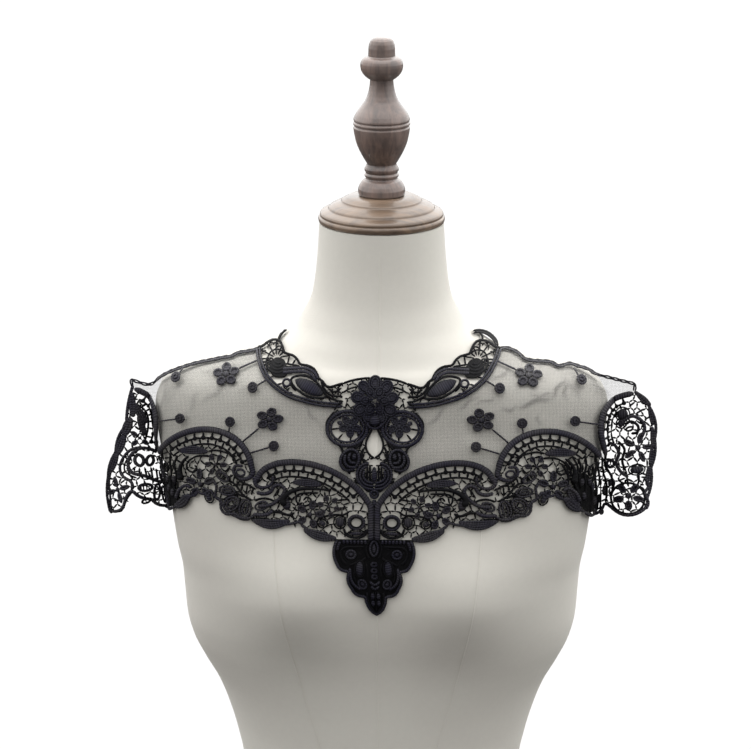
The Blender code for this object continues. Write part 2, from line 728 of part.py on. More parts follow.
def build_drop():
    """The pendant piece below the inner scallops."""
    outline = both_halves(joined(bowed(DROP_EDGE), drop_seam()[::-1]))
    kept = []
    for side in (-1, 1):
        cells = [cell for ring in DROP_RINGS for cell in ring_cells(ring)]
        kept += openings(outline, cells, side)
    build_panel("drop", outline, GUIPURE, LACE_WALL, kept)


def petalled(angle, petals, radius, waist):
    """Radius of a flower's outline at an angle."""
    return waist + (radius - waist) * abs(math.cos(petals * angle / 2)) ** 0.6


def build_laid(piece, wall, base):
    """A piece that lies on a panel, made from the panel's points moved out."""
    build_panel(piece.name, piece.outline, GUIPURE, wall, base=base + LAYER,
                raised=((piece.inner, piece.raise_by),), spacing=NET_MESH)


def stem_end(sprig, side, panel):
    """Where a sprig's stem stops, just inside the edge of the net it lies on."""
    start = np.array([side * sprig.across, sprig.up], float)
    run = np.array([side * sprig.root_across, sprig.root_up], float) - start
    run /= np.linalg.norm(run)
    end = start
    while inside(end + run, panel) and room(end + run, panel) > STEM_WIDTH:
        end = end + run
    return end


def sprig_shape(name, sprig, side, panel, count, radius_at):
    """A flower or a dot with its stem, to lie on the net."""
    centre = np.array([side * sprig.across, sprig.up], float)
    end = stem_end(sprig, side, panel)
    away = end - centre
    heading = math.atan2(away[1], away[0])
    across = STEM_WIDTH / 2 * np.array([-away[1], away[0]]) / np.linalg.norm(away)
    gap = math.asin(STEM_WIDTH / 2 / radius_at(0))
    outline = []
    for step in range(count):
        angle = gap + (2 * math.pi - 2 * gap) * step / (count - 1)
        reach = radius_at(angle)
        outline.append(centre + reach * np.array([math.cos(heading + angle), math.sin(heading + angle)]))
    outline += [end - across, end + across]
    return Laid(name, turned_left(outline), [centre], SPRIG_WALL / 2)


def sprig_shapes(side, label, panel):
    """The flowers and dots of one side."""
    shapes = []
    for place, sprig in enumerate(FLOWERS, 1):
        shapes.append(sprig_shape(f"flower_{label}_{place}", sprig, side, panel, 4 * PETALS + 1,
                                  lambda angle: petalled(angle, PETALS, FLOWER_RADIUS, FLOWER_WAIST)))
    for place, sprig in enumerate(DOTS, 1):
        shapes.append(sprig_shape(f"dot_{label}_{place}", sprig, side, panel, 8, lambda angle: DOT_RADIUS))
    return shapes


def build_yoke(side, label):
    """The net panel of one side and the sprigs on it."""
    outline = inset(sided(yoke_outline(side), side), NET_INSET)
    shapes = sprig_shapes(side, label, outline)
    build_panel(f"yoke_{label}", outline, NET, NET_WALL, laid=shapes, spacing=NET_MESH)
    for shape in shapes:
        build_laid(shape, SPRIG_WALL, NET_WALL)


def rosette_shape():
    """The padded rosette at the top of the medallion."""
    centre = np.array(ROSETTE, float)
    outline = []
    for step in range(3 * ROSETTE_PETALS):
        angle = 2 * math.pi * step / (3 * ROSETTE_PETALS)
        reach = petalled(angle, ROSETTE_PETALS, ROSETTE_RADIUS, ROSETTE_WAIST)
        outline.append(centre + reach * np.array([math.sin(angle), math.cos(angle)]))
    half = [centre + (point - centre) / 2 for point in outline[::3]]
    return Laid("rosette", turned_left(outline), [*half, centre], ROSETTE_DOME)


def build_collar():
    """Every piece of the collar."""
    build_medallion()
    build_drop()
    for side, label in ((-1, "right"), (1, "left")):
        build_yoke(side, label)
        build_shoulder_edge(side, label)
        build_neck_border(side, label)
        build_scallop(f"inner_scallop_{label}", side, INNER_ARCH, inner_outline(), INNER_RINGS)
        build_scallop(f"middle_scallop_{label}", side, middle_arch(), middle_outline(), MIDDLE_RINGS)
        build_scallop(f"cap_scallop_{label}", side, CAP_ARCHES[side], cap_outline(side),
                      CAP_RINGS[side])


def build_stand():
    """The dress form with its neck cap and finial."""
    build_form()
    cap_base = FORM_TOP + REST_GAP
    build_turned("neck_cap", CAP_PROFILE, cap_base)
    build_turned("finial", FINIAL_PROFILE, cap_base + CAP_PROFILE[-1].height + REST_GAP)


def main():
    """Clear the scene and build the part."""
    for old in list(bpy.data.objects):
        bpy.data.objects.remove(old, do_unlink=True)
    build_stand()
    build_collar()


main()
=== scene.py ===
"""The looks of a black lace collar on a limbless dress form, for Blender 4.5.

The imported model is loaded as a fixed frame, and every node of it is dressed with a finer piece. The
collar is drawn flat on a chart, in millimetres: across is the distance from the centre line, up runs
up a board that leans back by BOARD_TILT. Each motif is a small object that sews itself into its
piece's Needlework, and the Drape pulls the finished chart a little askew and carries it on to the
form and the free caps.
"""
import logging
import math
from abc import ABC, abstractmethod
from dataclasses import dataclass, field
from enum import Enum
from functools import lru_cache
from typing import NamedTuple, Sequence

import bmesh
import bpy
import numpy as np
from bmesh.types import BMesh, BMVert
from bpy.types import ID, Material, Node, NodeSocket, NodeTree, Object
from mathutils import Matrix, Vector


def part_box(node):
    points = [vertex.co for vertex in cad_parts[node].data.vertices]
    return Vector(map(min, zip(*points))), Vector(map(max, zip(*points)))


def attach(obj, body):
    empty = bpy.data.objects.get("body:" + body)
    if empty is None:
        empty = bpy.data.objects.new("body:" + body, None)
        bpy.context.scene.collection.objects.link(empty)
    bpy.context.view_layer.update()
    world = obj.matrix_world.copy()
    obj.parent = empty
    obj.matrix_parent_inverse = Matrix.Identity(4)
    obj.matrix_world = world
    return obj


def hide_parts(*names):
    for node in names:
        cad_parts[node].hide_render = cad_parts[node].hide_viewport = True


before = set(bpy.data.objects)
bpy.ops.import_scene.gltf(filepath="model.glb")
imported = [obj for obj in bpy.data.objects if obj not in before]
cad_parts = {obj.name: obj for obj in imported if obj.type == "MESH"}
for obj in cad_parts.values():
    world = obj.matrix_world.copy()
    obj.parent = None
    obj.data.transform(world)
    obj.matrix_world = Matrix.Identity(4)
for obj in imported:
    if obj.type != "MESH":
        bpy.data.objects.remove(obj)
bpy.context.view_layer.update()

MM = 0.001
Array = np.ndarray
Point = tuple[float, float]
log = logging.getLogger("lace_collar")


class Side(Enum):
    """A side of the wearer, with the sign that turns across into x."""

    RIGHT = -1
    LEFT = 1

    @property
    def label(self) -> str:
        """The side's word in the names of nodes."""
        return self.name.lower()


class Thread(Enum):
    """How the thread is worked, by its finish's place in a piece's material slots."""

    SATIN = 0
    GIMP = 1


class Form(Enum):
    """The outline of a padded stitch, by how hard its two ends are drawn to points."""

    OVAL = 0.0
    PETAL = 0.35
    LEAF = 0.9


# ---------------------------------------------------------------- the frame's own sizes, repeated
class Section(NamedTuple):
    """One level of the dress form: a superellipse with its own depth in front and behind."""

    height: float
    half_width: float
    front: float
    back: float
    squareness: float


SECTIONS = (
    Section(0, 163, 101, 102, 2.25),
    Section(30, 166, 103, 105, 2.25),
    Section(60, 166, 104, 106, 2.25),
    Section(90, 162.5, 103.5, 104, 2.22),
    Section(120, 155, 101, 98, 2.20),
    Section(150, 144.5, 98, 90, 2.18),
    Section(180, 133.5, 94.5, 81, 2.14),
    Section(205, 126, 91.5, 73.5, 2.12),
    Section(230, 124.5, 90, 69, 2.10),
    Section(258, 129.5, 90, 70, 2.12),
    Section(288, 138, 92, 73, 2.15),
    Section(310, 146.5, 94.5, 76, 2.20),
    Section(331, 158, 97.5, 80, 2.25),
    Section(352, 167.5, 101.5, 84, 2.32),
    Section(372, 172, 106, 88, 2.36),
    Section(395, 173.5, 110, 92, 2.40),
    Section(416, 175, 112, 95, 2.45),
    Section(437, 179, 112, 97, 2.50),
    Section(463, 182.5, 110.5, 98, 2.55),
    Section(490, 186, 108, 99, 2.60),
    Section(540, 194, 100, 96, 2.60),
    Section(562, 196, 93, 88, 2.50),
    Section(577, 191, 89, 80, 2.45),
    Section(587, 181, 86, 72, 2.40),
    Section(596, 159, 82, 63, 2.35),
    Section(603, 128, 78, 58, 2.30),
    Section(610, 101, 73, 57, 2.20),
    Section(621, 85, 68, 59, 2.15),
    Section(636, 70, 62.5, 61, 2.05),
    Section(660, 59, 57, 59, 2.00),
    Section(690, 55, 54, 55, 2.00),
    Section(720, 53, 53, 53, 2.00),
)
BUST_APART, BUST_HEIGHT, BUST_SPREAD, BUST_DEPTH = 80.0, 415.0, 48.0, 16.0
FORM_TOP = SECTIONS[-1].height

BOARD_TILT = math.radians(16.5)
CHART_LEVEL = 458.0
CLEARANCE, ARM_CLEARANCE = 1.0, 2.5
EASE = 8.0
OFF_FORM = 60.0
CAP_TOP = 584.0
CAP_FROM, CAP_FULL = 150.0, 180.0


class CapSheet(NamedTuple):
    """How one free cap hangs: its shelf, how it leans out, and the fold that runs down it."""

    shelf: float
    lean: float
    crest: float
    wave: float
    wave_length: float


CAP_SHEETS = {
    Side.RIGHT: CapSheet(-6, 0.12, 214, 0.10, 50),
    Side.LEFT: CapSheet(-6, 0.14, 219, 0.09, 56),
}


class Lobe(NamedTuple):
    """A point of an edge, which bows by bulge on its way to the next one."""

    across: float
    up: float
    bulge: float


class Arch(NamedTuple):
    """A scallop's top edge as a cubic curve."""

    start: Point
    rise: Point
    fall: Point
    end: Point


NECK_OUTER = (Lobe(103, 125, -1.5), Lobe(91, 99, -3), Lobe(59, 80.5, -1.5), Lobe(27, 76.5, 0))
MEDALLION_EDGE = (
    Lobe(17.6, 13.3, 3.5), Lobe(26, 39.5, 3), Lobe(38.5, 52, 4), Lobe(36, 70, 1), Lobe(27, 76.5, 0),
)
NECKLINE = (Lobe(25, 95, 1.5), Lobe(0, 101, 0))
TEARDROP = ((0.0, 57.0), (3.0, 50.0), (6.4, 43.0), (4.8, 36.0), (0.0, 33.5))
INNER_ARCH = Arch((0, -8), (20, 34), (96, 46), (102, 12))
MIDDLE_ARCH = Arch((99.7, 18.6), (100, 64), (162, 73), (192, 33))
CAP_ARCHES = {
    Side.RIGHT: Arch((192, 33), (183, 58), (180, 83), (214, 92.5)),
    Side.LEFT: Arch((192, 33), (179, 58), (180, 86), (218.5, 91)),
}
SHOULDER_ROUTES = {
    Side.RIGHT: (
        (102.4, 124.8), (108, 123), (114.5, 121.8), (121, 120.6), (126, 117.6), (133, 116.6), (145, 114),
        (157, 111.4), (170, 107.2), (182, 102.4), (190, 98.2), (195.5, 94.6), (201, 93.6), (208, 95.4),
        (214.2, 97.4), (214.6, 94.6), (213.8, 90.6),
    ),
    Side.LEFT: (
        (102.4, 124.8), (108, 126), (114, 124.6), (120, 121.2), (124.4, 116.8), (131, 115.2), (138, 114.8),
        (147, 114), (153.4, 110.8), (162.5, 113), (170.7, 110.6), (178.8, 108.4), (184.3, 104.6),
        (194.2, 103), (206, 100), (217.4, 97), (219, 94.4), (218.6, 90),
    ),
}
DROP_SEAM = -36.0
PULL, PULL_FROM, PULL_RISE, PULL_END, PULL_FADE = 2.4, -100.0, 40.0, 205.0, 130.0
SAG, SAG_FROM, SAG_RISE = 1.4, 40.0, 60.0
DROP_EDGE = (
    Lobe(0, -101, 1.5), Lobe(8.5, -92, 0.5), Lobe(9.5, -85.5, 2.5), Lobe(21, -78, 2),
    Lobe(22.5, -64, 2), Lobe(32, -58, 3), Lobe(32, DROP_SEAM, 0),
)
INNER_HEM = (
    Lobe(32, DROP_SEAM, 2.5), Lobe(58.5, -27, 1), Lobe(62, -22, 1.5), Lobe(82, -23.5, 2.5),
    Lobe(104, -20, 0),
)
INNER_SEAM = (Lobe(104, -20, 0), Lobe(98, -3, 0), Lobe(102, 12, 0))
MIDDLE_HEM = (
    Lobe(104, -20, 1.5), Lobe(117, -18, 2.5), Lobe(130, -5, 1.5), Lobe(139, 4, 3),
    Lobe(150, 2, 2.5), Lobe(163, -2, 2), Lobe(174.5, -14, 0),
)
CAP_SEAM = (Lobe(174.5, -14, 0), Lobe(181, 6, 0), Lobe(192, 33, 0))
CAP_HEMS = {
    Side.RIGHT: (
        Lobe(174.5, -14, 2), Lobe(188, -14.5, 2), Lobe(199.5, -8.5, 2), Lobe(213.5, -1, -1),
        Lobe(219.5, -15, 3), Lobe(237.5, -19, 2), Lobe(238.5, 12, 2), Lobe(230, 34, 2.5),
        Lobe(219.5, 58, 1.5), Lobe(214, 92.5, 0),
    ),
    Side.LEFT: (
        Lobe(174.5, -14, 2), Lobe(186.5, -18.5, 2), Lobe(196.5, -9, 0), Lobe(200.5, -12, 5),
        Lobe(225.5, -15, 2.5), Lobe(231.5, -2, 2), Lobe(234.5, 24, 2), Lobe(237.5, 49, 3),
        Lobe(232.5, 77, 2), Lobe(218.5, 91, 0),
    ),
}


# ---------------------------------------------------------------- curves on the chart
def lengths_along(points: Array) -> Array:
    """The distance to each point from the first."""
    steps = np.linalg.norm(np.diff(points, axis=0), axis=1)
    return np.concatenate([[0.0], np.cumsum(steps)])


def evened(points: Array, step: float) -> Array:
    """Points that divide a line into equal steps of about the given length."""
    lengths = lengths_along(points)
    count = max(2, round(lengths[-1] / step))
    places = np.linspace(0, lengths[-1], count + 1)
    return np.stack([np.interp(places, lengths, points[:, axis]) for axis in (0, 1)], axis=1)


def smooth_line(route: Sequence[Point], step: float, closed: bool = False) -> Array:
    """Even points of the smooth curve through a route's own points.

    Args:
        route: the points the curve passes through.
        step: the spacing wanted along the curve.
        closed: whether the last point runs on to the first.

    Returns:
        An array of chart points; a closed curve ends where it starts.
    """
    own = np.array(route, float)
    if closed:
        ring = np.vstack([own[-1], own, own[0], own[1]])
    else:
        ring = np.vstack([2 * own[0] - own[1], own, 2 * own[-1] - own[-2]])
    share = np.linspace(0, 1, 10, endpoint=False)[:, None]
    runs = []
    for before, start, end, after in zip(ring, ring[1:], ring[2:], ring[3:]):
        runs.append(0.5 * (2 * start + (end - before) * share
                           + (2 * before - 5 * start + 4 * end - after) * share ** 2
                           + (3 * start - before - 3 * end + after) * share ** 3))
    runs.append(ring[-2][None, :])
    return evened(np.vstack(runs), step)


def bowed(rows: Sequence[Lobe], step: float = 2.0) -> Array:
    """Points along an edge whose stretches bow to the right of the way they run."""
    points = []
    for row, after in zip(rows, rows[1:]):
        start, end = np.array(row[:2], float), np.array(after[:2], float)
        run = end - start
        length = float(np.linalg.norm(run))
        right = np.array([run[1], -run[0]]) / length
        share = np.linspace(0, 1, max(2, round(length / step)), endpoint=False)[:, None]
        points.append(start + run * share + right * row.bulge * 4 * share * (1 - share))
    points.append(np.array([rows[-1][:2]], float))
    return np.vstack(points)


def arch_line(arch: Arch, step: float = 1.0) -> Array:
    """Even points along a scallop's top edge."""
    share = np.linspace(0, 1, 161)[:, None]
    start, rise, fall, end = (np.array(knot, float) for knot in arch)
    points = ((1 - share) ** 3 * start + 3 * share * (1 - share) ** 2 * rise
              + 3 * share ** 2 * (1 - share) * fall + share ** 3 * end)
    return evened(points, step)


def left_of(points: Array, closed: bool = False) -> Array:
    """Unit vectors to the left of the way a line runs, one for each point."""
    if closed:
        run = np.roll(points, -1, axis=0) - np.roll(points, 1, axis=0)
    else:
        run = np.gradient(points, axis=0)
    run = run / np.maximum(np.linalg.norm(run, axis=1, keepdims=True), 1e-9)
    return np.stack([-run[:, 1], run[:, 0]], axis=1)


def beside(points: Array, distance: float) -> Array:
    """The line that keeps a distance to the right of another."""
    return points - left_of(points) * distance


def inside(points: Array, outline: Array) -> Array:
    """Which of the points lie within a closed outline."""
    after = np.roll(outline, -1, axis=0)
    held = np.zeros(len(points), bool)
    for (x0, y0), (x1, y1) in zip(outline, after):
        crosses = (y0 > points[:, 1]) != (y1 > points[:, 1])
        rise = y1 - y0 if y1 != y0 else 1.0
        held ^= crosses & (points[:, 0] < x0 + (points[:, 1] - y0) * (x1 - x0) / rise)
    return held


def nearest_on(points: Array, outline: Array) -> Array:
    """The nearest place on a closed outline to each point."""
    after = np.roll(outline, -1, axis=0)
    best = np.full(len(points), np.inf)
    place = points.copy()
    for start, end in zip(outline, after):
        run = end - start
        share = np.clip((points - start) @ run / max(float(run @ run), 1e-9), 0, 1)
        foot = start + share[:, None] * run
        away = np.linalg.norm(points - foot, axis=1)
        place[away < best] = foot[away < best]
        best = np.minimum(best, away)
    return place


def shoulder_line(side: Side) -> Array:
    """The collar's edge along the shoulder, from the neck to the cap's tip and down to the cap."""
    return smooth_line(SHOULDER_ROUTES[side], 1.5)


def outline_of(*runs: Array) -> Array:
    """One closed outline from runs of points whose ends meet."""
    points = np.vstack(runs)
    step = np.linalg.norm(points - np.roll(points, 1, axis=0), axis=1)
    return points[step > 0.05]


# ---------------------------------------------------------------- the form and the drape
def eased(places: Sequence[float], values: Sequence[float], at: Array) -> Array:
    """A smooth curve through values that never swings past them."""
    places, values = np.array(places, float), np.array(values, float)
    run = np.diff(places)
    rise = np.diff(values) / run
    turn = rise[1:] * rise[:-1]
    inner = np.where(turn > 0, 2 * turn / np.where(turn > 0, rise[1:] + rise[:-1], 1), 0)
    slope = np.concatenate([[rise[0]], inner, [rise[-1]]])
    row = np.clip(np.searchsorted(places, at, side="right") - 1, 0, len(run) - 1)
    share = np.clip((at - places[row]) / run[row], 0, 1)
    return ((1 + 2 * share) * (1 - share) ** 2 * values[row]
            + share * (1 - share) ** 2 * run[row] * slope[row]
            + share ** 2 * (3 - 2 * share) * values[row + 1]
            - share ** 2 * (1 - share) * run[row] * slope[row + 1])


class FormShape:
    """The covered torso as a smooth surface that any height can be asked of."""

    def __init__(self) -> None:
        """Work out the sections at every millimetre."""
        self.heights = np.arange(0, FORM_TOP + 0.5)
        rows = [row.height for row in SECTIONS]
        self.sizes = [eased(rows, [row[column] for row in SECTIONS], self.heights)
                      for column in (1, 2, 3, 4)]

    def section(self, height: Array) -> list[Array]:
        """Half width, front, back and squareness at each height."""
        return [np.interp(height, self.heights, size) for size in self.sizes]

    def bust(self, x: Array, height: Array) -> Array:
        """How far the bust stands out of the plain section."""
        spread = ((np.abs(x) - BUST_APART) / BUST_SPREAD) ** 2
        return BUST_DEPTH * np.exp(-spread - ((height - BUST_HEIGHT) / BUST_SPREAD) ** 2)

    def ring(self, angle: Array, height: Array) -> Array:
        """Points round the form, in millimetres; the angle runs from the wearer's left side."""
        half_width, front, back, power = self.section(height)
        cosine, sine = np.cos(angle), np.sin(angle)
        x = half_width * np.sign(cosine) * np.abs(cosine) ** (2 / power)
        depth = np.where(sine > 0, back, front + self.bust(x, height))
        return np.stack([x, depth * np.sign(sine) * np.abs(sine) ** (2 / power), height], axis=-1)

    def front(self, x: Array, height: Array, clear: Array) -> Array:
        """The y of the form's front, grown by a clearance, with OFF_FORM beside the form."""
        half_width, front, _, power = self.section(height - clear)
        share = np.abs(x) / (half_width + clear)
        round_off = np.clip(1 - share ** power, 0, 1) ** (1 / power)
        return np.where(share < 1, -(front + clear + self.bust(x, height - clear)) * round_off,
                        OFF_FORM)


def askew(chart: Array) -> Array:
    """Chart points as the collar really hangs: pulled to the wearer's right, lower on that side."""
    x, up = chart[:, 0], chart[:, 1]
    pull = PULL * np.clip((up - PULL_FROM) / PULL_RISE, 0, 1) * np.clip((PULL_END - x) / PULL_FADE, 0, 1)
    sag = SAG * np.clip((-x - SAG_FROM) / SAG_RISE, 0, 1)
    return np.stack([x - pull, up - sag], axis=1)


class Drape:
    """Where the cloth lies: close on the form, and free beyond the shoulder tips."""

    LOW, HIGH = (-252, -112), (252, 146)
    STEP = 1.0
    NORMAL_REACH = 3
    NEAREST, STRIDE, STRIDES, HALVINGS = -340.0, 4.0, 70, 14

    def __init__(self, form: FormShape) -> None:
        """Find the cloth's surface and its normals over the whole chart."""
        self.form = form
        across = np.arange(self.LOW[0], self.HIGH[0] + 1, self.STEP)
        rising = np.arange(self.LOW[1], self.HIGH[1] + 1, self.STEP)
        x, up = np.meshgrid(across, rising)
        self.surface = self.found(x, up)
        reach = self.NORMAL_REACH
        padded = np.pad(self.surface, ((reach, reach), (reach, reach), (0, 0)), mode="reflect",
                        reflect_type="odd")
        along = padded[reach:-reach, 2 * reach:] - padded[reach:-reach, :-2 * reach]
        upward = padded[2 * reach:, reach:-reach] - padded[:-2 * reach, reach:-reach]
        normal = np.cross(along, upward)
        self.normal = normal / np.linalg.norm(normal, axis=-1, keepdims=True)

    def hung(self, x: Array, z: Array) -> Array:
        """The y of the sheet that the free caps hang in."""
        depth = np.zeros_like(x)
        fall = np.maximum(CAP_TOP - z, 0)
        for side, sheet in CAP_SHEETS.items():
            phase = 2 * np.pi * (np.abs(x) - sheet.crest) / sheet.wave_length
            y = sheet.shelf - fall * (sheet.lean + sheet.wave * np.cos(phase))
            depth = np.where(x * side.value > 0, y, depth)
        share = free_share(x)
        return (1 - share) * OFF_FORM + share * depth

    def depth(self, x: Array, z: Array) -> Array:
        """The y of the cloth's inner face at a place seen from the front."""
        clear = CLEARANCE + (ARM_CLEARANCE - CLEARANCE) * free_share(x)
        first, second = self.form.front(x, z, clear), self.hung(x, z)
        share = np.clip(0.5 + 0.5 * (second - first) / EASE, 0, 1)
        return second + (first - second) * share - EASE * share * (1 - share)

    def found(self, x: Array, up: Array) -> Array:
        """Carry chart points along the board's normal on to the cloth, in strides and then halves."""
        up = up + CHART_LEVEL
        sine, cosine = math.sin(BOARD_TILT), math.cos(BOARD_TILT)
        near = np.full(x.shape, self.NEAREST)
        for _ in range(self.STRIDES):
            ahead = near + self.STRIDE
            hidden = up * sine + ahead * cosine > self.depth(x, up * cosine - ahead * sine)
            near = np.where(hidden, near, ahead)
        far = near + self.STRIDE
        for _ in range(self.HALVINGS):
            middle = (near + far) / 2
            hidden = up * sine + middle * cosine > self.depth(x, up * cosine - middle * sine)
            near, far = np.where(hidden, near, middle), np.where(hidden, middle, far)
        return np.stack([x, up * sine + near * cosine, up * cosine - near * sine], axis=-1)

    def lay(self, chart: Array, height: Array) -> Array:
        """Chart points, each at its height off the cloth, as places in metres."""
        chart = askew(chart)
        column = np.clip((chart[:, 0] - self.LOW[0]) / self.STEP, 0, self.surface.shape[1] - 1.001)
        row = np.clip((chart[:, 1] - self.LOW[1]) / self.STEP, 0, self.surface.shape[0] - 1.001)
        i, j = row.astype(int), column.astype(int)
        v, u = (row - i)[:, None], (column - j)[:, None]

        def blend(grid: Array) -> Array:
            """The grid's value between its four nearest places."""
            return ((1 - v) * ((1 - u) * grid[i, j] + u * grid[i, j + 1])
                    + v * ((1 - u) * grid[i + 1, j] + u * grid[i + 1, j + 1]))

        return MM * (blend(self.surface) + blend(self.normal) * height[:, None])


def free_share(x: Array) -> Array:
    """How much of the free sheet there is at a distance from the centre, from 0 to 1."""
    share = np.clip((np.abs(x) - CAP_FROM) / (CAP_FULL - CAP_FROM), 0, 1)
    return share * share * (3 - 2 * share)


# ---------------------------------------------------------------- stamps and needlework
def shown(name: str, data: ID) -> Object:
    """A new object in the scene, at the origin, that shows a mesh, a light or a camera."""
    made = bpy.data.objects.new(name, data)
    bpy.context.scene.collection.objects.link(made)
    return made


@dataclass(frozen=True)
class Stamp:
    """A small closed shape in unit size, as its points and its triangles."""

    points: Array
    faces: Array


def stamped(made: BMesh, turned: bool = True) -> Stamp:
    """Read a mesh as a stamp, with its faces turned outwards if wanted, and free it."""
    if turned:
        bmesh.ops.recalc_face_normals(made, faces=made.faces)
    bmesh.ops.triangulate(made, faces=made.faces)
    made.verts.index_update()
    points = np.array([vert.co[:] for vert in made.verts])
    faces = np.array([[vert.index for vert in face.verts] for face in made.faces])
    made.free()
    return Stamp(points, faces)


@lru_cache(maxsize=None)
def tube_stamp(rings: int, sides: int, closed: bool) -> Stamp:
    """A straight round tube whose rings stand at 0, 1, 2 and so on along z.

    Args:
        rings: how many rings it has.
        sides: how many sides each ring has.
        closed: whether the last ring runs on into the first, as in a ring of cord.
    """
    made = bmesh.new()
    lengthwise = rings if closed else rings - 1
    bmesh.ops.create_grid(made, x_segments=lengthwise, y_segments=sides, size=1)
    for vert in made.verts:
        ring = round((vert.co.x + 1) / 2 * lengthwise)
        angle = math.pi * (vert.co.y + 1)
        vert.co = (math.cos(angle), math.sin(angle), ring % rings)
    bmesh.ops.remove_doubles(made, verts=made.verts, dist=1e-4)
    if not closed:
        bmesh.ops.holes_fill(made, edges=made.edges, sides=sides)
    return stamped(made, turned=not closed)


@lru_cache(maxsize=None)
def ball_stamp(segments: int, rings: int) -> Stamp:
    """A unit ball whose poles lie along x."""
    made = bmesh.new()
    bmesh.ops.create_uvsphere(made, u_segments=segments, v_segments=rings, radius=1)
    bmesh.ops.rotate(made, verts=made.verts, cent=(0, 0, 0), matrix=Matrix.Rotation(math.pi / 2, 3, "Y"))
    return stamped(made)


def cut_sheet(outline: Array, step: float) -> BMesh:
    """A flat grid of about one step on the chart, cut to a closed outline."""
    low, high = outline.min(axis=0), outline.max(axis=0)
    size, middle = high - low, (low + high) / 2
    columns, rows = (max(2, int(value / step)) for value in size)
    made = bmesh.new()
    bmesh.ops.create_grid(made, x_segments=columns, y_segments=rows, size=0.5)
    for vert in made.verts:
        vert.co = (vert.co.x * size[0] + middle[0], vert.co.y * size[1] + middle[1], 0)
    held = inside(np.array([face.calc_center_median()[:2] for face in made.faces]), outline)
    bmesh.ops.delete(made, geom=[face for face, keep in zip(made.faces[:], held) if not keep],
                     context="FACES")
    rim = [vert for vert in made.verts if vert.is_boundary]
    snapped = nearest_on(np.array([vert.co[:2] for vert in rim]), outline)
    for vert, place in zip(rim, snapped.tolist()):
        vert.co = (*place, 0)
    return made


def set_round(centre: Point, along: Array, over: Array, turn: float) -> Array:
    """Chart points at distances along and over a heading in radians from a centre."""
    cosine, sine = math.cos(turn), math.sin(turn)
    return np.stack([centre[0] + along * cosine - over * sine,
                     centre[1] + along * sine + over * cosine], axis=1)


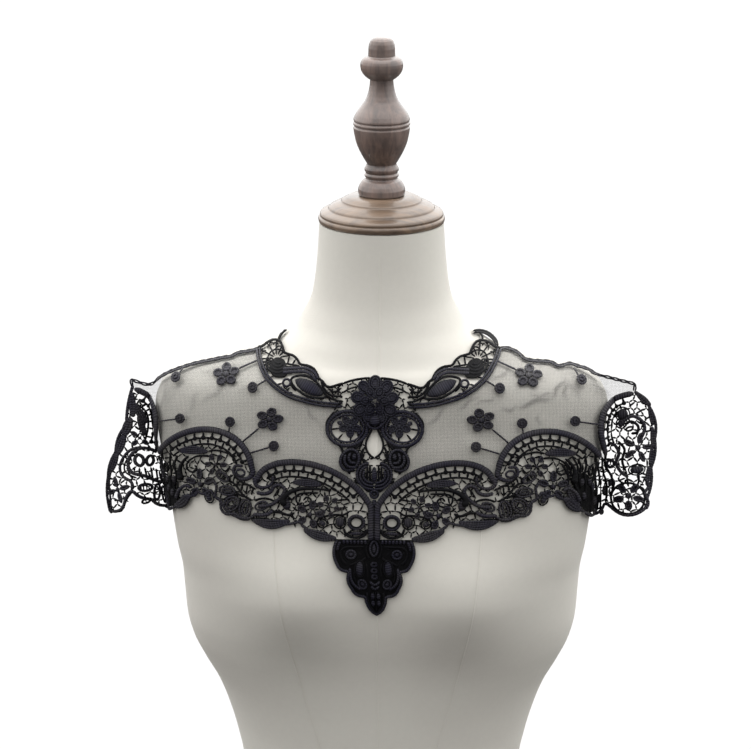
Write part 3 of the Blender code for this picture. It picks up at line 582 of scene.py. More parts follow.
@dataclass
class Needlework:
    """One piece of lace as it grows, stitch by stitch, on the chart of one side."""

    drape: Drape
    side: Side = Side.LEFT
    charts: list[Array] = field(default_factory=list)
    heights: list[Array] = field(default_factory=list)
    stitches: list[Array] = field(default_factory=list)
    faces: list[Array] = field(default_factory=list)
    threads: list[Array] = field(default_factory=list)
    count: int = 0
    wide: float = 3.5

    def put(self, stamp: Stamp, chart: Array, height: Array, stitch: Array,
            thread: Thread) -> None:
        """Add one shape.

        Args:
            stamp: the shape whose faces are used.
            chart: its points on the chart.
            height: their height off the cloth's surface.
            stitch: for each point, the distance along the work, the turn round it and its crown.
            thread: the thread it is worked in.
        """
        self.charts.append(chart)
        self.heights.append(height)
        self.stitches.append(stitch)
        self.faces.append(stamp.faces + self.count)
        self.threads.append(np.full(len(stamp.faces), thread.value))
        self.count += len(chart)

    def lay(self, line: Array, girth: Array, tall: Array, lift: float = 0.0,
            closed: bool = False, thread: Thread = Thread.GIMP) -> None:
        """Lay a cord whose width and thickness change along its line.

        Args:
            line: the cord's middle, as even points on the chart.
            girth: its width at each point.
            tall: its thickness at each point.
            lift: how far its underside is off the cloth's surface.
            closed: whether it ends where it starts.
            thread: the thread it is worked in.
        """
        path = line[:-1] if closed else line
        girth, tall = girth[:len(path)], tall[:len(path)]
        run = lengths_along(line)[:len(path)]
        if not closed:
            end = np.clip(np.minimum(run, run[-1] - run) / (0.5 * girth), 0.05, 1)
            rounding = np.sqrt(end * (2 - end))
            girth, tall = girth * rounding, tall * rounding
        stamp = tube_stamp(len(path), 12 if girth.max() > self.wide else 6, closed)
        ring = np.rint(stamp.points[:, 2]).astype(int)
        cosine, sine = stamp.points[:, 0], stamp.points[:, 1]
        chart = path[ring] + left_of(path, closed)[ring] * (0.5 * girth[ring] * cosine)[:, None]
        raised = lift + 0.5 * tall[ring] * (1 + sine)
        turn = np.arctan2(sine, cosine) / (2 * math.pi)
        self.put(stamp, chart, raised, np.stack([run[ring], turn, 0.5 + 0.5 * sine], axis=1), thread)

    def cord(self, line: Array, width: float, height: float = 0.0, lift: float = 0.0,
             closed: bool = False, swell: float = 0.0, thread: Thread = Thread.GIMP) -> None:
        """Lay a cord of one width, or of one that swells by a share towards its end.

        Args:
            line: the cord's middle, as even points on the chart.
            width: its width.
            height: its thickness, or 0 for four fifths of its width.
            lift: how far its underside is off the cloth's surface.
            closed: whether it ends where it starts.
            swell: how much wider than its width it is at its end.
            thread: the thread it is worked in.
        """
        run = lengths_along(line)
        girth = width + swell * (run / max(run[-1], 1e-6)) ** 2
        girth = girth * (1 + 0.05 * np.sin(run * 1.9 + line[0, 0]))
        self.lay(line, girth, girth * (height / width if height else 0.8), lift, closed, thread)

    def pad(self, centre: Point, length: float, width: float, turn: float = 0.0,
            height: float = 1.8, lift: float = 0.2, form: Form = Form.OVAL,
            thread: Thread = Thread.SATIN) -> None:
        """Raise a padded stitch, an oval or a pointed one, that lies along its turn in radians."""
        stamp = ball_stamp(12, 8) if length > 4 else ball_stamp(8, 6)
        x, y, z = stamp.points.T
        draw = np.clip(1 - x ** 2, 0, 1) ** (0.5 * form.value)
        along, over = 0.5 * length * x, 0.5 * width * y * draw
        chart = set_round(centre, along, over, turn)
        raised = lift + 0.5 * height * (1 + z * draw)
        stitch = np.stack([along, 0.25 * y, 0.5 + 0.5 * z], axis=1)
        self.put(stamp, chart, raised, stitch, thread)

    def made(self, name: str, threads: Sequence[Material]) -> Object:
        """Lay the whole piece on the form and return it as an object."""
        chart = np.vstack(self.charts) * (self.side.value, 1)
        faces = np.vstack(self.faces)
        if self.side is Side.RIGHT:
            faces = faces[:, ::-1]
        points = self.drape.lay(chart, np.concatenate(self.heights))
        mesh = bpy.data.meshes.new(name)
        mesh.from_pydata(points.tolist(), [], faces.tolist())
        mesh.polygons.foreach_set("material_index", np.concatenate(self.threads).astype(np.int32))
        stitch = mesh.attributes.new("stitch", "FLOAT_VECTOR", "POINT")
        stitch.data.foreach_set("vector", np.vstack(self.stitches).astype(np.float32).ravel())
        for material in threads:
            mesh.materials.append(material)
        mesh.shade_smooth()
        mesh.set_sharp_from_angle(angle=math.radians(75))
        log.info("%s: %d triangles", name, len(faces))
        return shown(name, mesh)


# ---------------------------------------------------------------- motifs
def oval(centre: Point, length: float, width: float, turn: float, form: Form = Form.OVAL,
         step: float = 1.3) -> Array:
    """A closed oval or pointed line on the chart."""
    angle = np.linspace(0, 2 * math.pi, 49)
    along = 0.5 * length * np.cos(angle)
    over = 0.5 * width * np.sin(angle) * np.abs(np.sin(angle)) ** form.value
    return evened(set_round(centre, along, over, turn), step)


def towards(start: Point, turn: float, distance: float) -> Point:
    """The point at a distance from another, on a heading in radians."""
    return start[0] + distance * math.cos(turn), start[1] + distance * math.sin(turn)


def arc(centre: Point, reach: float, turns: range) -> tuple[Point, ...]:
    """Points about a centre, at headings in whole degrees."""
    return tuple(towards(centre, math.radians(turn), reach) for turn in turns)


class Motif(ABC):
    """Anything that can sew itself into a piece of lace."""

    @abstractmethod
    def sew(self, work: Needlework) -> None:
        """Add the motif's stitches to the work."""


@dataclass(frozen=True)
class Centred(Motif):
    """A motif that lies about one point."""

    across: float
    up: float

    @property
    def centre(self) -> Point:
        """The point it lies about."""
        return self.across, self.up


@dataclass(frozen=True)
class Cord(Motif):
    """A corded line through its own points, single or in parallel strands, of satin if wide."""

    route: tuple[Point, ...]
    width: float = 1.7
    swell: float = 0.0
    strands: int = 1
    gap: float = 2.2
    closed: bool = False
    lift: float = 0.5
    satin_over: float = 2.4

    def sew(self, work: Needlework) -> None:
        """Lay each strand beside the others."""
        line = smooth_line(self.route, 1.25, self.closed)
        thread = Thread.SATIN if self.width > self.satin_over else Thread.GIMP
        for strand in range(self.strands):
            shift = self.gap * (strand - (self.strands - 1) / 2)
            path = beside(line, shift) if shift else line
            work.cord(path, self.width, lift=self.lift, closed=self.closed, swell=self.swell,
                      thread=thread)


@dataclass(frozen=True)
class Pad(Centred):
    """One padded satin stitch."""

    length: float
    width: float
    turn: float = 0.0
    form: Form = Form.OVAL
    height: float = 2.0
    ringed: bool = False

    def sew(self, work: Needlework) -> None:
        """Raise the pad, and its ring of cord where it has one."""
        centre, turn = self.centre, math.radians(self.turn)
        work.pad(centre, self.length, self.width, turn, self.height, 0.3, self.form)
        if self.ringed:
            line = oval(centre, self.length + 2.6, self.width + 2.6, turn, self.form)
            work.cord(line, 1.3, lift=0.4, closed=True)


@dataclass(frozen=True)
class Blossom(Centred):
    """A flower of ring-like petals round a small hub."""

    petals: int = 5
    reach: float = 7.0
    length: float = 6.5
    width: float = 5.0
    turn: float = 90.0
    cord_width: float = 1.8
    form: Form = Form.OVAL
    hub: float = 2.6

    def sew(self, work: Needlework) -> None:
        """Set the petals round the hub, each a ring of cord over a low pad."""
        centre = self.centre
        for petal in range(self.petals):
            turn = math.radians(self.turn + 360 * petal / self.petals)
            middle = towards(centre, turn, self.reach)
            ring = oval(middle, self.length - self.cord_width, self.width - self.cord_width, turn,
                        self.form, 1.1)
            work.cord(ring, self.cord_width, 1.7, 0.6, closed=True, thread=Thread.SATIN)
            work.pad(middle, self.length - 1.5, self.width - 1.5, turn, 1.0, 0.3, self.form)
            inner = self.reach - 0.5 * self.length
            if inner > 1.5:
                stalk = np.array([centre, towards(centre, turn, inner + 0.5)])
                work.cord(evened(stalk, 1.5), 1.2, lift=0.5)
        work.pad(centre, self.hub, self.hub, 0, 1.9, 0.7)


@dataclass(frozen=True)
class Leaf(Motif):
    """A pointed leaf of ridges side by side between its root and its tip."""

    root: Point
    tip: Point
    width: float
    ridges: int = 3
    bend: float = 0.0

    def sew(self, work: Needlework) -> None:
        """Lay each ridge from root to tip."""
        root, tip = np.array(self.root, float), np.array(self.tip, float)
        run = tip - root
        length = float(np.linalg.norm(run))
        left = np.array([-run[1], run[0]]) / length
        share = np.linspace(0, 1, max(8, round(length / 1.2)))[:, None]
        spine = root + run * share + left * self.bend * 4 * share * (1 - share)
        girth = self.width / self.ridges
        belly = np.sin(math.pi * np.clip(share, 0, 1)) ** 0.8
        for ridge in range(self.ridges):
            shift = girth * (ridge - (self.ridges - 1) / 2) * 0.92
            path = spine + left * shift * belly
            work.cord(path, girth * 1.12, 1.8, 0.5, thread=Thread.SATIN)


@dataclass(frozen=True)
class Bars(Motif):
    """Straight thin bars between pairs of points."""

    pairs: tuple[tuple[Point, Point], ...]
    width: float = 1.2

    def sew(self, work: Needlework) -> None:
        """Lay the bars."""
        for start, end in self.pairs:
            work.cord(evened(np.array([start, end], float), 1.6), self.width, lift=0.3)


@dataclass(frozen=True)
class Fan(Centred):
    """Plain bars that spread from one point as far as an outline lets them."""

    start: float
    end: float
    near: float
    far: float
    count: int
    outline: Array
    width: float = 1.4

    def sew(self, work: Needlework) -> None:
        """Lay each bar outwards."""
        for bar in range(self.count):
            turn = math.radians(self.start + (self.end - self.start) * bar / max(self.count - 1, 1))
            ends = [towards(self.centre, turn, reach) for reach in (self.near, self.far)]
            line = evened(np.array(ends), 1.2)
            held = line[inside(line, self.outline)]
            if len(held) > 2:
                work.cord(held, self.width, lift=0.4)


@dataclass(frozen=True)
class Ring(Centred):
    """An oval ring of cord, with smaller rings inside it and a pad or cross bars if wanted."""

    length: float
    width: float
    turn: float = 0.0
    rings: int = 1
    cord_width: float = 2.0
    bars: int = 0
    padded: bool = False
    form: Form = Form.OVAL
    satin_over: float = 1.9

    def sew(self, work: Needlework) -> None:
        """Lay the rings from the outside in, then what fills them."""
        centre, turn = self.centre, math.radians(self.turn)
        thread = Thread.SATIN if self.cord_width > self.satin_over else Thread.GIMP
        for ring in range(self.rings):
            less = self.cord_width * (1 + 2.3 * ring)
            line = oval(centre, self.length - less, self.width - less, turn, self.form)
            work.cord(line, self.cord_width * (1 - 0.15 * ring), 1.9, 0.5, closed=True, thread=thread)
        taken = 2.2 * self.cord_width * self.rings
        inner = self.length - taken
        if self.padded:
            work.pad(centre, inner, self.width - taken, turn, 1.8, 0.3, self.form)
        for bar in range(self.bars):
            shift = inner * ((bar + 1) / (self.bars + 1) - 0.5)
            middle = towards(centre, turn, shift)
            reach = 0.5 * (self.width - self.cord_width) * math.sqrt(1 - (2 * shift / self.length) ** 2)
            ends = [towards(middle, turn + math.pi / 2, way * reach) for way in (-1, 1)]
            work.cord(evened(np.array(ends), 1.5), 1.1, lift=0.4)


@dataclass(frozen=True)
class Ground(Motif):
    """A closely worked low ground that fills an outline."""

    route: Sequence[Point]
    height: float = 0.9
    step: float = 2.0
    rounded: bool = True

    def sew(self, work: Needlework) -> None:
        """Lay one low closed sheet, rounded through its route's points or cut straight between."""
        outline = np.array(self.route, float)
        if self.rounded:
            outline = smooth_line(self.route, 1.5, closed=True)[:-1]
        made = cut_sheet(outline, self.step)
        grown = bmesh.ops.extrude_face_region(made, geom=made.faces[:])
        raised = [item for item in grown["geom"] if isinstance(item, BMVert)]
        bmesh.ops.translate(made, verts=raised, vec=(0, 0, self.height))
        stamp = stamped(made)
        chart, height = stamp.points[:, :2], stamp.points[:, 2]
        # The top face gets a higher crown than the underside, so the thread's painted highlight lightens
        # the ground's top.
        stitch = np.stack([chart[:, 0] + 0.4 * chart[:, 1], 0.3 * chart[:, 1],
                           0.3 + 0.3 * (height > 0)], axis=1)
        work.put(stamp, chart, 0.2 + height, stitch, Thread.GIMP)


@dataclass(frozen=True)
class Brides(Motif):
    """The ground of fine bars, an uneven honeycomb that joins the motifs."""

    outline: Array
    cell: float = 6.8
    width: float = 1.5
    seed: int = 1
    clear: tuple[tuple[float, float, float], ...] = ()
    bare: Array | None = None
    margin: float = 1.2
    jitter: float = 0.22
    samples: int = 13
    shortest: float = 1.2

    def sew(self, work: Needlework) -> None:
        """Lay the stretch of each cell's side that lies on the piece and clear of the motifs."""
        shuffle = np.random.default_rng(self.seed)
        low, high = self.outline.min(axis=0) - self.cell, self.outline.max(axis=0) + self.cell
        radius = self.cell / math.sqrt(3)
        columns = int((high[0] - low[0]) / (self.cell / 2)) + 2
        rows = int((high[1] - low[1]) / (1.5 * radius)) + 2
        i, j = np.meshgrid(np.arange(columns), np.arange(rows), indexing="ij")
        knots = np.stack([low[0] + i * self.cell / 2,
                          low[1] + j * 1.5 * radius + np.where((i + j) % 2, radius / 2, 0)], axis=-1)
        knots = knots + shuffle.uniform(-self.jitter, self.jitter, knots.shape) * self.cell
        pairs = [(knots[a, b], knots[a + 1, b]) for a in range(columns - 1) for b in range(rows)]
        pairs += [(knots[a, b], knots[a, b + 1]) for a in range(columns) for b in range(rows - 1)
                  if (a + b) % 2]
        ends = np.array(pairs)
        shares = np.linspace(0, 1, self.samples)[None, :, None]
        points = ends[:, :1] + (ends[:, 1:] - ends[:, :1]) * shares
        kept = self.kept(points.reshape(-1, 2)).reshape(len(ends), self.samples)
        for bar, held in zip(points, kept):
            places = np.flatnonzero(held)
            if len(places) < 2 or places[-1] - places[0] + 1 > len(places):
                continue
            line = bar[[places[0], places[-1]]]
            if np.linalg.norm(line[1] - line[0]) > self.shortest:
                work.cord(evened(line, 2.2), self.width, lift=0.2)

    def kept(self, points: Array) -> Array:
        """Which points lie within the outline by the margin, and off the clear rounds and zone."""
        held = inside(points, self.outline)
        held &= np.linalg.norm(nearest_on(points, self.outline) - points, axis=1) > self.margin
        for x, y, reach in self.clear:
            held &= np.hypot(points[:, 0] - x, points[:, 1] - y) > reach
        if self.bare is not None:
            held &= ~inside(points, self.bare)
        return held


@dataclass(frozen=True)
class Ladder(Motif):
    """Two staggered rows of openings along a scallop's top, with knots between them."""

    top: Array
    start: float
    end: float
    depths: tuple[float, float, float] = (4.6, 9.8, 14.8)
    pitch: float = 9.0
    knot: float = 4.0
    rail: float = 1.8
    rung: float = 2.1

    def kept(self) -> Array:
        """Which points of the edge the ladder runs beside."""
        length = lengths_along(self.top)
        return (length >= self.start) & (length <= length[-1] - self.end)

    def zone(self) -> Array:
        """The closed strip that the ladder and the band outside it take up."""
        return outline_of(self.top[self.kept()], beside(self.top, self.depths[2])[self.kept()][::-1])

    def sew(self, work: Needlework) -> None:
        """Lay the two rails, the rungs between them and the knots."""
        top, kept = self.top, self.kept()
        length = lengths_along(top)
        near, middle, deep = self.depths
        for depth in (middle, deep):
            work.cord(evened(beside(top, depth)[kept], 1.5), self.rail, lift=0.4)
        place = self.start + 1.5
        row = 0
        while place < length[-1] - self.end:
            at = int(np.searchsorted(length, place))
            inward = -left_of(top)[at]
            outer = row % 2 == 0
            ends = (near, middle) if outer else (middle, deep)
            rung = np.array([top[at] + inward * ends[0], top[at] + inward * ends[1]])
            work.cord(evened(rung, 1.5), self.rung if outer else self.rail, lift=0.4)
            if outer:
                foot = (top[at] + inward * (middle - 0.3)).tolist()
                turn = math.atan2(inward[1], inward[0])
                work.pad(foot, self.knot, self.knot, turn, 1.8, 0.4, thread=Thread.GIMP)
            place += self.pitch / 2
            row += 1


@dataclass(frozen=True)
class Band(Motif):
    """The thick satin band along a scallop's top edge, with a curl at either end."""

    top: Array
    width: float = 5.4
    head: tuple[Point, ...] = ()
    tail: tuple[Point, ...] = ()
    trim: tuple[float, float] = (0.0, 0.0)
    blunt: bool = False

    def sew(self, work: Needlework) -> None:
        """Lay the band just inside the edge, and on round its curls."""
        length = lengths_along(self.top)
        kept = (length >= self.trim[0]) & (length <= length[-1] - self.trim[1])
        middle = beside(self.top, self.width / 2)[kept]
        line = smooth_line([*self.head, *map(tuple, middle[::6]), *self.tail], 1.0)
        run = lengths_along(line)
        head = lengths_along(np.array([*self.head, middle[0]]))[-1] if self.head else 0
        tail = lengths_along(np.array([middle[-1], *self.tail]))[-1] if self.tail else 0
        share = np.minimum(1 if self.blunt else (run + 4) / (head + 8), (run[-1] - run + 4) / (tail + 8))
        girth = self.width * np.clip(share, 0.48, 1)
        tall = 2.6 * (girth / self.width) ** 0.7
        work.lay(line, girth, tall, lift=0.2, thread=Thread.SATIN)


@dataclass(frozen=True)
class HemEdge(Motif):
    """The satin edge that follows a hem, just inside it."""

    rows: tuple[Lobe, ...]
    width: float

    def sew(self, work: Needlework) -> None:
        """Lay the edge's cord; the hem's rows keep the piece on their left."""
        line = evened(bowed(self.rows, 1.0), 1.2)
        work.cord(line + left_of(line) * (0.5 * self.width), self.width, 2.0, 0.3, thread=Thread.SATIN)


# ---------------------------------------------------------------- what each piece of lace shows
INNER_MOTIFS: tuple[Motif, ...] = (
    Ring(14.8, -21.6, 15.4, 14, 0, 1, 2.6),
    Ring(14.8, -21.6, 11.6, 10.2, 0, 1, 1.7),
    Pad(15, -30.8, 13, 3.6, -4, Form.LEAF, 2.2, ringed=True),
    Cord(((5.6, -27), (8.2, -32.4), (15, -34.4), (22.4, -32.6), (25.6, -26.6)), 2.2),
    Leaf((43.6, 9.6), (68.4, 12.2), 7, 4, bend=0.8),
    Cord(((36, 4.6), (44, 6), (57.7, 6.8), (66, 5.6), (72.2, 2.8), (76.2, -2), (74.6, -7.6)), 1.9,
         swell=4.2),
    Pad(73.6, -6.2, 10.5, 7.2, 74, Form.OVAL, 2.2),
    Cord(((46.5, 3), (58.5, 2.9), (64.6, 0.8), (64.6, -4.6), (59.6, -7.8), (54.2, -6.6), (52.8, -2.6),
          (56.6, -0.6), (59.2, -3.4))),
    Blossom(37.9, -8.4, 6, 7.2, 6, 4.4, 75, 1.7),
    Blossom(53.6, -15, 5, 8.2, 8.2, 6.2, 35, 2, hub=4.2),
    Pad(28.6, -21.4, 7.6, 8.6, 0, Form.OVAL, 2.4, ringed=True),
    Pad(43.4, -22.6, 6, 4.6, 30, Form.OVAL, 2, ringed=True),
    Leaf((31.5, -35.4), (58.8, -27.4), 8.6, 4, bend=-1.8),
    Leaf((70.5, -20.4), (102, -19.4), 8.8, 4, bend=-3.2),
    Cord(((99, 3.9), (92, 2.6), (86.4, 4.6), (83.6, 9), (78.8, 10), (74.8, 6.4), (76.6, 1.2),
          (81.2, -3.4), (88, -7.2), (97, -8)), 3.3),
    Cord(((84.6, -0.6), (81.8, 3.6), (80.2, 6.4)), 1.5),
    Ring(94.6, -7.6, 12.8, 8.6, -20, 2, 2),
    Cord(((82.6, -4.4), (87.6, -2), (94.4, -1.4), (100.6, -3.4)), 1.9),
    Cord(((84.6, -11.4), (88.6, -14.4), (95, -15.2), (101.6, -14.6)), 3.4),
    Cord(((66.5, -13.6), (72, -15.4), (79, -13), (86, -12.6)), 2.4),
    Cord(((20.5, -12.5), (26, -15.4), (31.4, -15.2), (44, -17.4), (48.5, -21.6)), 1.7),
    Bars((((20.6, -2), (31, -3.4)), ((22, -9), (30.8, -10)), ((45.6, -8), (51.6, -8.6)),
          ((64, -12), (68.4, -8.6)), ((66, -2), (73, -2)), ((41.5, 4), (41, -1)),
          ((68.6, -15), (66.8, -20.6)), ((58, -22), (66.8, -20.6)), ((66.8, -20.6), (66, -26))),
         1.5),
)
MIDDLE_MOTIFS: tuple[Motif, ...] = (
    Leaf((140.6, 37.2), (167, 37.2), 7.4, 4, bend=1.2),
    Cord(((116, 33.6), (127.7, 37.6), (135, 38.4), (140.6, 37.4)), 1.7),
    Cord(((139.5, 33.6), (149, 33.4), (155.5, 30.6), (159.4, 26.6), (158.8, 21.4), (154, 19.4),
          (150.6, 22.6), (153, 25.8))),
    Cord(((158, 33), (163, 28), (165.6, 21), (164, 12)), 2.4, swell=3.8),
    Blossom(133.8, 26.6, 6, 6.9, 6, 4.4, 60, 1.7),
    Blossom(147.6, 9.6, 5, 8.6, 10, 6, 88, 2.2, hub=4.6),
    Ring(108.4, -10.2, 17.6, 11.6, 102, 2, 2.2),
    Ring(120.4, -6.4, 16.4, 12.8, -40, 2, 2.2),
    Ring(124, 4.8, 15.6, 9.4, 8, 2, 2.1),
    Ring(127.8, 16.4, 13.4, 8, 34, 1, 2.1, 3),
    Cord(((102.6, -3.4), (107, -0.6), (112.6, 1), (116.6, 3.6)), 1.9),
    Cord(((114.2, -14.6), (114.6, -7), (112.6, -1)), 1.8),
    Cord(((128, -3.6), (121.4, 0.4), (115.4, 1.8)), 1.8),
    Cord(((99.6, -14.6), (104.6, -18), (112.6, -18), (117, -14.6), (124.4, -15.2),
          (129, -11.4), (130.2, -3.4), (134.4, -0.4), (133.2, 8), (136.6, 14)), 2.6),
    Cord(((104, -2.6), (110, 1.4), (117, 10), (121.6, 13)), 1.9),
    Cord(((99.4, 6.2), (105.4, 9.6), (112, 12.6), (118.6, 19)), 1.9),
    Ring(112.4, 20.2, 9.4, 7.4, 10, 1, 2),
    Bars((((103.5, 1.2), (101, 8)), ((108, 1.6), (106.6, 9.6)), ((112.4, 5), (110.4, 11.6)),
          ((115.6, 8.6), (113.6, 13.4)), ((119.5, 10.5), (117.4, 17.6)), ((122.8, 11.6), (120.8, 18.6)),
          ((126.4, 20), (121, 25.4))), 1.5),
    Pad(140, -1.6, 7, 5, 70, Form.OVAL, 2.2, ringed=True),
    Cord(((155.5, 6), (160.6, 8), (166.5, 4), (170, -4)), 2.8, swell=1.2),
    Leaf((157.6, 0.2), (172.5, -11.5), 8, 3, bend=-1.6),
    Ring(179.4, 22.6, 9.6, 5.8, 84, 1, 1.8),
    Cord(((168.4, 33), (171, 25), (169.6, 16), (171.6, 7)), 1.9),
    Cord(((174, 36), (175.4, 28), (174.2, 19), (175.6, 9), (174.6, -4)), 2),
    Cord(((183, 37), (184.2, 28), (183, 19), (180.4, 12)), 2),
    Pad(172.2, 13, 6.4, 3.8, 84), Pad(178.6, 12.6, 6, 3.6, 95), Pad(174.2, 1, 7, 4, 86),
)
FOLD_MOTIFS: dict[Side, tuple[Motif, ...]] = {
    Side.RIGHT: (
        Ground(((171, 2), (174, 12), (179, 14), (180, 4), (176, -9), (170, -6))),
        Bars((((170, 25), (175, 24)), ((170, 18), (174, 17.4)), ((176.4, 31), (182, 30)),
              ((166, 28), (170.6, 30))), 1.6),
    ),
    Side.LEFT: (
        Ground(((166, 10), (171, 20), (178, 18), (180, 6), (176, -9), (168, -4))),
        Cord(((160.4, 31), (165, 24), (165.2, 14), (169.4, 3), (171.6, -7)), 2.2),
        Cord(((155, 28), (160, 20), (160.6, 10), (164.8, 1), (168.4, -6)), 2),
        Cord(((163.6, 34.6), (168, 27), (168, 20)), 1.8),
        Cord(((157.6, 31), (161.6, 25), (163, 17)), 1.6),
        Leaf((160.4, 12), (170.6, -8), 6.4, 3, bend=-2),
        Pad(165, 18.6, 6.4, 3.4, 100), Pad(181.4, 9, 7, 4, 100),
        Bars((((160.6, 24), (165, 26)), ((161, 15), (165.4, 17)), ((163, 6), (168, 8)),
              ((157, 22), (160.6, 20)), ((168, 22), (172, 26))), 1.6),
    ),
}
